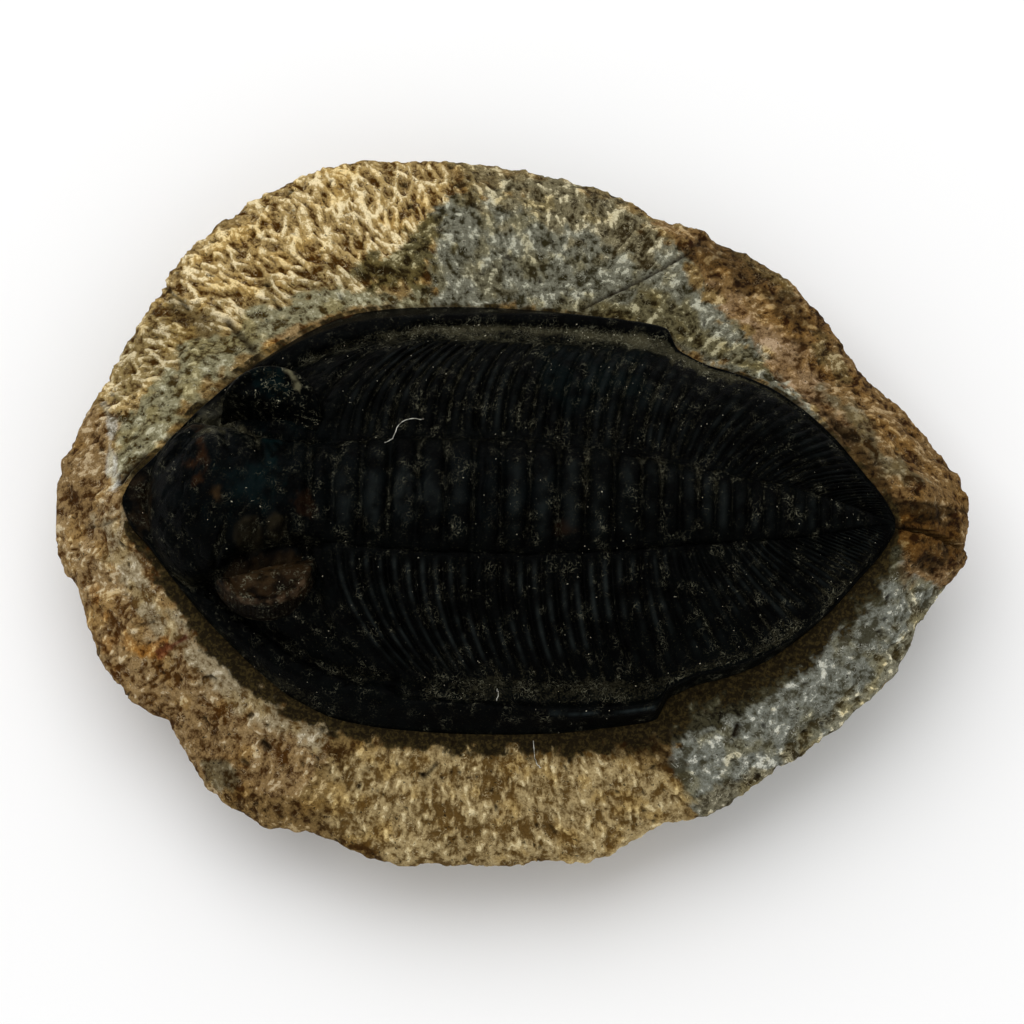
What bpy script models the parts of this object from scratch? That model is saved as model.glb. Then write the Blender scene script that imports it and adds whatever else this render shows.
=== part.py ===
"""A long-eyed trilobite, prepared free on the block of limestone that it was found in.

Sizes are in millimetres and become metres when a mesh is made. The block rests on its sawn base,
+Z up, with the fossil's head towards -X and its tail towards +X. A "line" runs across the body: line
0 is the nose, line 1 the back of the head, then comes one line a segment and one a tail ring.
"""

import math

import bmesh
import bpy
import numpy as np
from mathutils import Matrix, Vector, noise

MM = 0.001

# The block's widest edge, seen from above, as (degrees from +X, radius from the block's centre).
BLOCK_CENTRE = (0.0, 1.0)
BLOCK_OUTLINE = (
    (0, 52.6), (6, 50.4), (12, 47.8), (18, 45.1), (24, 43.3), (33, 42.9), (48, 41.6), (54, 40.5),
    (57, 40.9), (64, 39.3), (72, 40.2), (84, 41.4), (99, 43.3), (105, 44.6), (114, 46.7), (123, 47.7),
    (144, 49.1), (148, 48.6), (156, 48.9), (165, 50.1), (171, 51.4), (177, 52.6), (186, 52.5),
    (192, 50.6), (201, 50.5), (207, 49.1), (213, 46.8), (222, 47.4), (231, 46.7), (240, 44.2),
    (249, 43.8), (258, 42.5), (270, 41.2), (276, 41.0), (282, 42.1), (294, 40.6), (303, 42.4),
    (312, 42.7), (321, 44.6), (330, 46.4), (336, 48.1), (342, 48.6), (348, 50.1), (353, 52.5),
)
BLOCK_SPOKES = 108

# Heights of the block: its widest edge, the seat under the fossil, and the bank around the seat.
EDGE_HEIGHT, EDGE_RISE_AT_ENDS = 11.0, 3.0
SEAT_HEIGHT = 19.0
FLANK_BANK_HEIGHT, NOSE_BANK_HEIGHT, TAIL_BANK_HEIGHT = 19.6, 22.2, 22.0
CLEARANCE = 0.3
SEAT_STEP = 0.15
SEAT_CENTRE_RADIUS = 0.5
# The bank falls from the fossil (share 0) to the edge (1); the side is (share of height, inset).
BANK_STATIONS = (0.0, 0.12, 0.28, 0.45, 0.61, 0.75, 0.87, 0.95, 1.0)
SIDE_STATIONS = ((0.88, 1.1), (0.62, 2.9), (0.34, 5.4), (0.1, 8.0), (0.0, 9.0))
BANK_STRAIGHT_SHARE = 0.55

# Chiselled relief of the block: broad lumps, small chips, a keel behind the tail and a low ledge.
LUMP_LENGTH, LUMP_DEPTH = 9.0, 0.9
CHIP_LENGTH, CHIP_DEPTH = 3.2, 0.6
CHIP_OFFSET = Vector((7, 3, 5))
EDGE_CALM = 0.7
SIDE_ROUGHNESS = 1.3
KEEL_HEIGHT, KEEL_DEGREES = 1.3, 5.0
LEDGE_DROP, LEDGE_START, LEDGE_FADE, LEDGE_END = 1.1, 173.0, 225.0, 250.0

# The fossil has its own frame, x from the nose to the tail and y across, set down on the block.
FOSSIL_NOSE = (-44.4, -0.55)
FOSSIL_TURN = math.radians(-1.8)
MARGIN_HEIGHT = 23.0
HEAD_LENGTH = 24.2
SEGMENTS = 11
THORAX_END = 59.1
TAIL_RINGS = 16
RINGS_END = 85.5
BODY_LENGTH = 88.1
LAST_LINE = 1 + SEGMENTS + TAIL_RINGS + 1

# Half-width of the rim, which runs back from the head as two spines and closes again at the tail.
RIM_HALF_WIDTH = (
    (0, 0.5), (1, 2.7), (3.1, 5.0), (5.5, 7.9), (8.3, 11.1), (11, 13.7), (13.6, 15.8), (17.1, 18.2),
    (20.5, 20.1), (25.4, 22.0), (30.8, 22.9), (36.4, 23.3), (43.2, 23.6), (50, 23.8), (54.6, 23.5),
    (59.1, 23.0), (61.5, 22.4), (62.8, 20.0), (64, 19.3), (66, 18.3), (68.9, 17.5), (73, 16.0),
    (77, 13.5), (81.1, 9.9), (84.3, 6.1), (86.8, 3.0), (88.1, 0.7),
)
# How far the rim's wall slopes out on its way down to the seat.
WALL_RUN = (
    (0, 0.3), (3, 0.4), (6, 0.8), (11, 1.3), (17, 1.7), (26, 2.2), (36, 2.1), (43, 1.8), (50, 1.2),
    (59, 0.6), (66, 0.5), (88.1, 0.3),
)
SPINE_START, SPINE_END = 33.0, 62.5
THORAX_HALF_WIDTH = ((33, 20.4), (45, 20.3), (55, 20.2), (61, 19.5), (64, 18.8), (66, 17.8))
TAIL_START = 66.0
HEAD_BODY_SHARE = 0.88
TAIL_RIM_WIDTH = 0.5

# The axial lobe: its half-width, its crest and the furrow beside it, above the margin.
LOBE_HALF_WIDTH = (
    (0, 0.25), (1, 1.2), (3, 3.0), (6, 5.6), (10, 7.6), (14, 7.2), (18, 6.2), (22, 5.9), (24.2, 5.9),
    (30, 6.4), (36, 6.7), (45, 6.65), (52, 6.2), (59, 5.4), (63.7, 4.7), (70.5, 3.8), (77.3, 2.8),
    (83, 1.5), (85.5, 0.8), (88.1, 0.2),
)
LOBE_CREST = (
    (20, 9.6), (24.2, 9.8), (30, 10.2), (40, 10.4), (50, 9.9), (59, 8.9), (66, 7.6), (73, 6.0),
    (80, 4.2), (85, 2.5), (88.1, 0.4),
)
LOBE_FURROW = (
    (20, 6.4), (24.2, 6.6), (35, 7.0), (45, 7.0), (59, 6.0), (66, 5.2), (73, 4.1), (80, 2.8),
    (85, 1.6), (88.1, 0.3),
)

# Each line sweeps back on its way out: where it starts on the axis and where it meets the margin.
MARGIN_STATION = (
    (0, 0), (12, 16.4), (24.2, 33.0), (25.8, 34.4), (31.8, 38.3), (37, 41.7), (43.2, 46.8),
    (51.2, 54.2), (59.1, 62.8), (65.9, 73.2), (70.5, 79.0), (76.2, 84.0), (85.5, 87.6), (88.1, 88.1),
)
SWEEP_POWER = ((0, 1.6), (24.2, 2.2), (40, 2.6), (59, 2.0), (66, 1.4), (88.1, 1.2))

# The ribbing: depth of the furrows between rings, and between and along the ribs.
RING_DEPTH = ((24.2, 1.1), (45, 1.2), (59, 1.0), (70, 0.7), (82, 0.4), (88.1, 0.1))
RIB_DEPTH = ((24.2, 0.55), (45, 0.6), (59, 0.6), (70, 0.6), (82, 0.4), (88.1, 0.1))
RIB_FURROW_WIDTH = 0.11
RIB_GROOVE_SHARE, RIB_GROOVE_WIDTH = 0.6, 0.12

# The head: a raised border, the cheeks, and the glabella, which swells forward between the eyes.
BORDER_WIDTH, BORDER_SWELL = 2.6, 0.45
BORDER_FURROW_DEPTH, BORDER_FURROW_WIDTH = 0.45, 0.7
CHEEK_RUN = 9.0
CHEEK_HEIGHT = ((0, 0.2), (4, 1.8), (9, 4.2), (14, 5.8), (20, 6.6), (24.2, 6.7), (40, 6.7))
GLABELLA_FRONT = 2.8
GLABELLA_HALF_WIDTH = (
    (GLABELLA_FRONT, 0.0), (3.3, 3.4), (4.2, 5.9), (6, 8.3), (8.2, 9.3), (10.4, 9.0), (13, 7.6),
    (16, 6.5), (19, 6.0), (21.6, 5.8), (24.2, 5.9),
)
GLABELLA_CREST = (
    (GLABELLA_FRONT, 0.6), (3.6, 2.6), (5, 4.9), (8, 7.4), (12, 8.9), (16, 9.5), (20, 9.6), (24.2, 9.8),
)
GLABELLA_GROOVE_DEPTH, GLABELLA_GROOVE_WIDTH = 0.5, 0.6
# Side furrows of the glabella, as (station, how far the furrow leans back towards the middle).
SIDE_FURROWS = ((11.8, 3.6), (15.6, 1.2), (19.0, 0.4))
SIDE_FURROW_DEPTH, SIDE_FURROW_WIDTH = 0.8, 0.55
NECK_FURROW_LINE, NECK_FURROW_DEPTH, NECK_FURROW_WIDTH = 0.885, 0.9, 0.028
HEAD_ENDS, THORAX_STARTS = 0.94, 1.02

# Each eye is a half disc on the cheek, with a raised rim and a steep outer face.
EYE_STATION, EYE_OFFSET, EYE_HALF_LENGTH = 16.75, 8.3, 5.3
EYE_TURN = math.radians(18.6)
EYE_FOOT, EYE_CENTRE_HEIGHT = 3.2, 6.6
EYE_END_DROP = 2.4
# The eye's section, as (share of the half length, height above the margin).
EYE_SECTION = (
    (0.35, 7.4), (0.62, 8.5), (0.71, 8.3), (0.8, 9.1), (0.93, 9.5), (1.0, 9.2), (1.06, 7.2),
    (1.13, EYE_FOOT),
)
EYE_STEPS = 18

# Where the body's mesh has its columns and lines, closest together where the ribs are.
LOBE_COLUMNS = (0.0, 0.5, 0.84, 1.0)
FLANK_COLUMNS = (0.2, 0.44, 0.66, 0.85, 1.0)
RIM_COLUMNS = (0.3, 0.6, 1.0)
SPINE_PROFILE = (-0.9, 0.2, 0.0)
HEAD_LINES, HEAD_LINE_CROWDING = 20, 1.15
SEGMENT_LINES = (0.22, 0.5, 0.78, 1.0)
RING_LINES = (0.32, 0.68, 1.0)


def curve_through(knots, x):
    """Reads a smooth curve without overshoot through (x, y) knots."""
    xs, ys = np.array(knots, float).T
    step = np.diff(xs)
    slope = np.diff(ys) / step
    tangent = np.zeros_like(xs)
    tangent[0], tangent[-1] = slope[0], slope[-1]
    same_way = slope[:-1] * slope[1:] > 0
    left = 2 * step[1:] + step[:-1]
    right = step[1:] + 2 * step[:-1]
    divisor = np.where(same_way, left * slope[1:] + right * slope[:-1], 1.0)
    tangent[1:-1] = np.where(same_way, (left + right) * slope[:-1] * slope[1:] / divisor, 0.0)
    x = np.clip(x, xs[0], xs[-1])
    i = np.clip(np.searchsorted(xs, x, side="right") - 1, 0, len(xs) - 2)
    t = (x - xs[i]) / step[i]
    start = (1 + 2 * t) * (1 - t) ** 2 * ys[i] + t * (1 - t) ** 2 * step[i] * tangent[i]
    return start + t * t * (3 - 2 * t) * ys[i + 1] + t * t * (t - 1) * step[i] * tangent[i + 1]


def ease(low, high, x):
    """Goes smoothly from 0 at low to 1 at high."""
    t = np.clip((x - low) / (high - low), 0, 1)
    return t * t * (3 - 2 * t)


def bump(offset, width):
    """A rounded bump of height 1 over an offset of 0."""
    return np.exp(-((offset / width) ** 2))


def line_to_axis(line):
    """Where each line crosses the axis, from the nose."""
    head = HEAD_LENGTH * line
    thorax = HEAD_LENGTH + (THORAX_END - HEAD_LENGTH) * (line - 1) / SEGMENTS
    t = np.clip((line - 1 - SEGMENTS) / TAIL_RINGS, 0, 1)
    tail = THORAX_END + (RINGS_END - THORAX_END) * (1.35 * t - 0.35 * t * t)
    tip = RINGS_END + (BODY_LENGTH - RINGS_END) * (line - LAST_LINE + 1)
    back = np.where(line < 1 + SEGMENTS, thorax, np.where(line < LAST_LINE - 1, tail, tip))
    return np.where(line < 1, head, back)


def body_half_width(station):
    """Half the body's width inside its rim, at a station on the margin."""
    rim = curve_through(RIM_HALF_WIDTH, station)
    thorax = np.minimum(curve_through(THORAX_HALF_WIDTH, station), rim - 0.4)
    tail = np.maximum(rim - TAIL_RIM_WIDTH, 0.15)
    back = np.where(station < TAIL_START, thorax, tail)
    return np.where(station < SPINE_START, rim * HEAD_BODY_SHARE, back)


def distance_to_rim(x, y):
    """How far a point of the head is inside the outline."""
    station = np.linspace(0, 45, 240)
    width = curve_through(RIM_HALF_WIDTH, station)
    return np.hypot(x[..., None] - station, np.abs(y)[..., None] - width).min(axis=-1)


def head_height(x, y, line):
    """Height of the head above the margin, at (x, y)."""
    across = np.abs(y)
    inside = distance_to_rim(x, y)
    border = BORDER_SWELL * np.sin(np.clip(inside / BORDER_WIDTH, 0, 1) * math.pi) ** 0.6
    border = border - BORDER_FURROW_DEPTH * bump(inside - BORDER_WIDTH, BORDER_FURROW_WIDTH)
    rise = 1 - (1 - np.clip((inside - BORDER_WIDTH) / CHEEK_RUN, 0, 1)) ** 1.9
    cheek = curve_through(CHEEK_HEIGHT, x) * rise
    width = np.maximum(curve_through(GLABELLA_HALF_WIDTH, x), 1e-3)
    share = np.clip(across / width, 0, 1)
    crest = curve_through(GLABELLA_CREST, x)
    swell = (crest - np.minimum(cheek, crest)) * (1 - share**2) ** 0.55
    dome = np.where((across < width) & (x > GLABELLA_FRONT), swell, 0)
    for station, lean in SIDE_FURROWS:
        cut = bump(x - station + lean * (share - 0.7), SIDE_FURROW_WIDTH)
        dome = dome - SIDE_FURROW_DEPTH * cut * ease(0.3, 0.75, share) * (share < 1)
    groove = GLABELLA_GROOVE_DEPTH * bump(across - width, GLABELLA_GROOVE_WIDTH) * ease(3.5, 7, x)
    neck = NECK_FURROW_DEPTH * bump(line - NECK_FURROW_LINE, NECK_FURROW_WIDTH) * ease(2.6, 5, inside)
    return cheek + dome + border - groove - neck


def ribbed_height(line, share, axis):
    """Height above the margin, behind the head: share is 0 on the axis, 1 in its furrow, 2 outside."""
    crest, valley = curve_through(LOBE_CREST, axis), curve_through(LOBE_FURROW, axis)
    across = np.clip(share, 0, 1)
    flank = np.clip(share - 1, 0, 1)
    phase = line - np.floor(line)
    ring = 1 - np.clip(np.abs(2 * phase - 1) / (1 - 0.22 * across**2), 0, 1) ** 3
    round_top = np.sqrt(1 - across**2)
    lobe = valley + (crest - valley) * round_top**1.2
    lobe = lobe - curve_through(RING_DEPTH, axis) * (1 - ring) * (0.35 + 0.65 * round_top)
    between = bump(np.minimum(phase, 1 - phase), RIB_FURROW_WIDTH)
    along = RIB_GROOVE_SHARE * bump(phase - 0.5, RIB_GROOVE_WIDTH)
    cut = curve_through(RIB_DEPTH, axis) * (between + along)
    cut = cut * (1 - ease(0.88, 1.0, flank)) * ease(0.0, 0.12, flank)
    return np.where(share <= 1, lobe, valley * (1 - flank**2.5) ** 0.8 + 0.1 - cut)


def fossil_grid(lines):
    """Points of the upper face and its wall: one row a line, from foot to foot over the axis."""
    line = np.asarray(lines, float)[:, None]
    axis = line_to_axis(line)
    station = curve_through(MARGIN_STATION, axis)
    body = body_half_width(station)
    rim = curve_through(RIM_HALF_WIDTH, station)
    lobe = np.minimum(curve_through(LOBE_HALF_WIDTH, axis), 0.6 * body)
    on_lobe, on_flank, on_rim = (np.array([c]) for c in (LOBE_COLUMNS, FLANK_COLUMNS, RIM_COLUMNS))
    y = np.hstack([lobe * on_lobe, lobe + (body - lobe) * on_flank, body + (rim - body) * on_rim])
    swept = axis + (station - axis) * on_flank ** curve_through(SWEEP_POWER, axis)
    x = np.hstack([axis + 0 * on_lobe, swept, station + 0 * on_rim])
    share = np.hstack([on_lobe, 1 + on_flank, 2 + 0 * on_rim]) + 0 * line
    ribbed = ribbed_height(line + 0 * y, share, axis)
    tail_rim = 0.15 * (1 - on_rim)
    ribbed[:, -len(RIM_COLUMNS):] = np.where(station < SPINE_END, np.array([SPINE_PROFILE]), tail_rim)
    blend = ease(HEAD_ENDS, THORAX_STARTS, line)
    height = head_height(x, y, line + 0 * y) * (1 - blend) + ribbed * blend
    height[:, -1] = 0
    half = np.dstack([x, y, MARGIN_HEIGHT + height])
    run = curve_through(WALL_RUN, station)
    foot = np.dstack([station, rim + run, np.full_like(station, SEAT_HEIGHT + CLEARANCE)])
    half = np.concatenate([half, foot], axis=1)
    return np.concatenate([half[:, ::-1], half[:, 1:] * (1, -1, 1)], axis=1)


def set_on_block(points):
    """Turns points from the fossil's own frame into the block's."""
    x, y = points[..., 0], points[..., 1]
    c, s = math.cos(FOSSIL_TURN), math.sin(FOSSIL_TURN)
    placed = [FOSSIL_NOSE[0] + c * x - s * y, FOSSIL_NOSE[1] + s * x + c * y, points[..., 2]]
    return np.stack(placed, axis=-1)


def mesh_from_rings(name, rings):
    """A closed mesh: each ring of points is joined to the next, and the end rings are filled."""
    mesh = bpy.data.meshes.new(name)
    bm = bmesh.new()
    made = [[bm.verts.new(Vector(p) * MM) for p in ring] for ring in rings]
    for a, b in zip(made, made[1:]):
        for j in range(len(a)):
            k = (j + 1) % len(a)
            bm.faces.new((a[j], a[k], b[k], b[j]))
    bm.faces.new(made[0])
    bm.faces.new(made[-1])
    bmesh.ops.recalc_face_normals(bm, faces=bm.faces)
    bm.to_mesh(mesh)
    bm.free()
    return mesh


def eye_mesh(side):
    """One eye, a closed half disc that reaches down into the cheek: side is 1 on +Y, -1 on -Y."""
    mesh = bpy.data.meshes.new("eye")
    bm = bmesh.new()
    c, s = math.cos(-EYE_TURN), math.sin(-EYE_TURN)

    def vertex(along, out, height):
        x, y = EYE_STATION + c * along - s * out, EYE_OFFSET + s * along + c * out
        placed = set_on_block(np.array((x, side * y, MARGIN_HEIGHT + height)))
        return bm.verts.new(Vector(placed) * MM)

    top = vertex(0, 0, EYE_CENTRE_HEIGHT)
    bottom = vertex(0, 0, EYE_FOOT)
    spokes = []
    for step in range(EYE_STEPS + 1):
        angle = math.pi * step / EYE_STEPS
        drop = EYE_END_DROP * (1 - math.sin(angle)) ** 3
        spoke = []
        for share, height in EYE_SECTION:
            reach = EYE_HALF_LENGTH * share
            lowered = max(height - drop * min(share, 1), EYE_FOOT)
            spoke.append(vertex(-reach * math.cos(angle), reach * math.sin(angle), lowered))
        spokes.append(spoke)
    for a, b in zip(spokes, spokes[1:]):
        bm.faces.new((top, a[0], b[0]))
        bm.faces.new((bottom, b[-1], a[-1]))
        for j in range(len(a) - 1):
            bm.faces.new((a[j], a[j + 1], b[j + 1], b[j]))
    bm.faces.new([top] + spokes[0] + [bottom] + spokes[-1][::-1])
    bmesh.ops.recalc_face_normals(bm, faces=bm.faces)
    bm.to_mesh(mesh)
    bm.free()
    return mesh


def finish(name, colour, roughness):
    """A plain surface of one colour."""
    material = bpy.data.materials.new(name)
    material.use_nodes = True
    shader = material.node_tree.nodes["Principled BSDF"]
    shader.inputs["Base Color"].default_value = (*colour, 1)
    shader.inputs["Roughness"].default_value = roughness
    shader.inputs["Metallic"].default_value = 0.0
    return material


def add_object(name, mesh):
    """Links a mesh to the scene, shaded smooth between its sharp edges."""
    made = bpy.data.objects.new(name, mesh)
    bpy.context.scene.collection.objects.link(made)
    mesh.shade_smooth()
    mesh.set_sharp_from_angle(angle=math.radians(40))
    return made


def fossil_lines():
    """The lines that the body's mesh has."""
    head = np.linspace(0.0, 1.0, HEAD_LINES + 1) ** HEAD_LINE_CROWDING
    thorax = [1 + k + f for k in range(SEGMENTS) for f in SEGMENT_LINES]
    tail = [1 + SEGMENTS + k + f for k in range(TAIL_RINGS) for f in RING_LINES]
    return [*head, *thorax, *tail, LAST_LINE - 0.5, LAST_LINE]


def build_trilobite():
    """The fossil as one solid: the ribbed body with its cheek spines, and the two eyes joined to it."""
    rings = set_on_block(fossil_grid(fossil_lines()))
    body = add_object("trilobite", mesh_from_rings("trilobite", rings))
    body.data.materials.append(finish("black calcite", (0.012, 0.014, 0.016), 0.42))
    for side in (1, -1):
        eye = add_object("eye_form", eye_mesh(side))
        eye.hide_render = True
        eye.display_type = "WIRE"
        join = body.modifiers.new("eye", "BOOLEAN")
        join.operation = "UNION"
        join.object = eye


def seat_radius(degrees):
    """Radius of the seat, which follows the fossil's foot, in each direction."""
    lines = np.concatenate([np.linspace(0, 1, 400), np.linspace(1, LAST_LINE, 500)])
    grid = set_on_block(fossil_grid(lines))
    foot = np.concatenate([grid[:, 0], grid[:, -1]])[:, :2] - BLOCK_CENTRE
    angle = np.degrees(np.arctan2(foot[:, 1], foot[:, 0]))
    apart = np.abs((degrees[:, None] - angle[None, :] + 180) % 360 - 180)
    reach = np.where(apart < 180 / BLOCK_SPOKES + 0.6, np.hypot(foot[:, 0], foot[:, 1])[None, :], 0)
    return reach.max(axis=1) + CLEARANCE


def build_matrix():
    """The block: a flat sawn base, a rough undercut side, and a chiselled bank up to the seat."""
    degrees = np.arange(BLOCK_SPOKES) * 360 / BLOCK_SPOKES
    knots = [(a + lap, r) for lap in (-360, 0, 360) for a, r in BLOCK_OUTLINE]
    edge = curve_through(knots, degrees)
    seat = seat_radius(degrees)
    turn = np.radians(degrees)
    direction = np.column_stack([np.cos(turn), np.sin(turn)])
    edge_height = EDGE_HEIGHT + EDGE_RISE_AT_ENDS * np.cos(turn) ** 2
    end_height = np.where(np.cos(turn) < 0, NOSE_BANK_HEIGHT, TAIL_BANK_HEIGHT)
    at_end = ease(0.72, 1.0, np.abs(np.cos(turn)))
    bank_height = FLANK_BANK_HEIGHT + (end_height - FLANK_BANK_HEIGHT) * at_end
    keel = KEEL_HEIGHT * bump((degrees + 180) % 360 - 180, KEEL_DEGREES)
    ledge = LEDGE_DROP * ease(LEDGE_START, LEDGE_START + 3, degrees)
    ledge = ledge * (1 - ease(LEDGE_FADE, LEDGE_END, degrees))

    def ring(radius, height, roughness):
        flat = direction * radius[:, None] + BLOCK_CENTRE
        points = np.column_stack([flat, height])
        for i, point in enumerate(points):
            lump = noise.noise(Vector(point) / LUMP_LENGTH) * LUMP_DEPTH
            chip = noise.noise(Vector(point) / CHIP_LENGTH + CHIP_OFFSET) * CHIP_DEPTH
            points[i] = point + np.array((*direction[i], 0.8)) * (lump + chip) * roughness
        return points

    level = np.full(BLOCK_SPOKES, SEAT_HEIGHT)
    rings = [ring(np.full(BLOCK_SPOKES, SEAT_CENTRE_RADIUS), level, 0.0), ring(seat, level, 0.0)]
    for q in BANK_STATIONS:
        radius = seat + SEAT_STEP + (edge - seat - SEAT_STEP) * q
        fall = BANK_STRAIGHT_SHARE * (1 - q) + (1 - BANK_STRAIGHT_SHARE) * math.sqrt(1 - q * q)
        height = edge_height + (bank_height - edge_height) * fall
        height = height + keel * math.sin(math.pi * min(q + 0.2, 1)) - ledge * ease(0.0, 0.5, q)
        rings.append(ring(radius, height, ease(0.0, 0.3, q) - EDGE_CALM * ease(0.8, 1.0, q)))
    for share, inset in SIDE_STATIONS:
        height = (edge_height - ledge) * share
        rings.append(ring(edge - inset, height, SIDE_ROUGHNESS * ease(0, 0.25, share)))
    matrix = add_object("matrix", mesh_from_rings("matrix", rings))
    matrix.data.materials.append(finish("limestone", (0.36, 0.27, 0.16), 0.85))
    return matrix


def main():
    """Clears the scene and builds both pieces, with the middle of the block's base on the origin."""
    for old in list(bpy.data.objects):
        bpy.data.objects.remove(old)
    matrix = build_matrix()
    build_trilobite()
    corners = np.array([v.co for v in matrix.data.vertices])
    low, high = corners.min(axis=0), corners.max(axis=0)
    shift = Matrix.Translation((-(low[0] + high[0]) / 2, -(low[1] + high[1]) / 2, -low[2]))
    for made in bpy.data.objects:
        made.data.transform(shift)
    return shift.to_translation()


main()
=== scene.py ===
"""A long-eyed trilobite, prepared free on its block of chiselled limestone.

Sizes are in millimetres until a mesh is made. They are given in the drawing frame, and TO_PART takes them
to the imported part's own frame. A "line" runs across the fossil's body: line 0 is the nose, line 1 the back
of the head, then comes one line a segment and one a tail ring. A place that only carries a colour or a
small mark is given where the photograph shows it, in the photograph's pixels.
"""

import logging
import math
from collections.abc import Sequence
from dataclasses import dataclass, field
from enum import Enum

import bmesh
import bpy
import numpy as np
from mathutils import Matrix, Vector, noise


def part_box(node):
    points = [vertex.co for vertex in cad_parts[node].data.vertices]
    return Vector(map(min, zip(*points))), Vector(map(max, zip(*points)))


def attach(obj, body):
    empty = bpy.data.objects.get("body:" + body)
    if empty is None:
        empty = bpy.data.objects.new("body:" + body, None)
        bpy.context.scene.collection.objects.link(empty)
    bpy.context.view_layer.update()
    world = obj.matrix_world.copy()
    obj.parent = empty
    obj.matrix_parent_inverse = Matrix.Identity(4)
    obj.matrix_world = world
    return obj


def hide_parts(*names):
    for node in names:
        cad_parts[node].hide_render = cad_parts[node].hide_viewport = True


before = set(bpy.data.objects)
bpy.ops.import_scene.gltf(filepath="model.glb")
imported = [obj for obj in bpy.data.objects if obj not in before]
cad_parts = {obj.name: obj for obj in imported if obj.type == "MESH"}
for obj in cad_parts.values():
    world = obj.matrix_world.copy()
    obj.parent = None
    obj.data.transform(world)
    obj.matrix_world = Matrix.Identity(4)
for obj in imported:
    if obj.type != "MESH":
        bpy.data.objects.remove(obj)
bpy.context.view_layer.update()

log = logging.getLogger("trilobite")

Array = np.ndarray
Colour = tuple[float, float, float]
Pixel = tuple[float, float]
Knots = tuple[tuple[float, float], ...]

MM = 0.001
TO_PART = (-0.0494, -1.6688, 0.0)
BODY = "root"
NOISE_MIDDLE = 0.5


def curve_through(knots: Knots, x: Array | float) -> Array:
    """Reads a smooth curve without overshoot.

    Args:
        knots: the (x, y) points that the curve goes through.
        x: where it is read.

    Returns:
        The curve's height at each x.
    """
    xs, ys = np.array(knots, float).T
    step = np.diff(xs)
    slope = np.diff(ys) / step
    tangent = np.zeros_like(xs)
    tangent[0], tangent[-1] = slope[0], slope[-1]
    same_way = slope[:-1] * slope[1:] > 0
    left = 2 * step[1:] + step[:-1]
    right = step[1:] + 2 * step[:-1]
    divisor = np.where(same_way, left * slope[1:] + right * slope[:-1], 1.0)
    tangent[1:-1] = np.where(same_way, (left + right) * slope[:-1] * slope[1:] / divisor, 0.0)
    x = np.clip(x, xs[0], xs[-1])
    i = np.clip(np.searchsorted(xs, x, side="right") - 1, 0, len(xs) - 2)
    t = (x - xs[i]) / step[i]
    start = (1 + 2 * t) * (1 - t) ** 2 * ys[i] + t * (1 - t) ** 2 * step[i] * tangent[i]
    return start + t * t * (3 - 2 * t) * ys[i + 1] + t * t * (t - 1) * step[i] * tangent[i + 1]


def ease(low: float, high: float, x: Array | float) -> Array:
    """Goes smoothly from 0 at low to 1 at high, which may be the lesser of the two."""
    t = np.clip((x - low) / (high - low), 0, 1)
    return t * t * (3 - 2 * t)


def bump(offset: Array, width: Array | float) -> Array:
    """A rounded bump of height 1 over an offset of 0."""
    return np.exp(-((offset / width) ** 2))


def ink(red: float, green: float, blue: float) -> Colour:
    """Turns a screen's colour into linear light.

    Args:
        red, green, blue: the channels, 0 to 255.

    Returns:
        The linear colour, 0 to 1.
    """
    shares = np.array((red, green, blue)) / 255
    linear = np.where(shares <= 0.04045, shares / 12.92, ((shares + 0.055) / 1.055) ** 2.4)
    return tuple(float(channel) for channel in linear)


@dataclass(frozen=True)
class Grain:
    """Seeded gradient noise, mostly between -0.6 and 0.6, the same in each run."""

    seed: int

    def at(self, x: Array, y: Array, z: Array | float) -> Array:
        """Reads the noise.

        Args:
            x, y, z: the places, in noise lengths.

        Returns:
            The noise at each place.
        """
        draw = np.random.default_rng(self.seed)
        order = draw.permutation(256)
        slopes = draw.normal(size=(256, 3))
        slopes /= np.linalg.norm(slopes, axis=1, keepdims=True)
        place = np.stack(np.broadcast_arrays(x, y, z), axis=-1)
        cell = np.floor(place).astype(int)
        inside = place - cell
        weight = inside**3 * (inside * (inside * 6 - 15) + 10)
        total = np.zeros(place.shape[:-1])
        for corner in np.ndindex(2, 2, 2):
            pick = order[(cell[..., 0] + corner[0]) & 255]
            pick = order[(pick + cell[..., 1] + corner[1]) & 255]
            pick = order[(pick + cell[..., 2] + corner[2]) & 255]
            lean = ((inside - corner) * slopes[pick]).sum(axis=-1)
            share = np.prod(np.where(corner, weight, 1 - weight), axis=-1)
            total += lean * share
        return total

    def over(self, points: Array, size: float, layers: int = 1) -> Array:
        """Reads the noise over a surface.

        Args:
            points: the surface's points.
            size: length of the coarsest waves.
            layers: how many finer and weaker waves are laid over each other.

        Returns:
            The noise at each point.
        """
        total = np.zeros(points.shape[:-1])
        for layer in range(layers):
            x, y, z = np.moveaxis(points * 2**layer / size + 17.3 * layer, -1, 0)
            total += self.at(x, y, z) * 0.55**layer
        return total


@dataclass(frozen=True)
class Waves:
    """Noise laid over a surface: its seed, the length of its coarsest waves, its layers and strength."""

    seed: int
    size: float
    layers: int = 1
    strength: float = 1.0

    def over(self, points: Array) -> Array:
        """Reads the noise at each point."""
        return Grain(self.seed).over(points, self.size, self.layers) * self.strength


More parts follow.
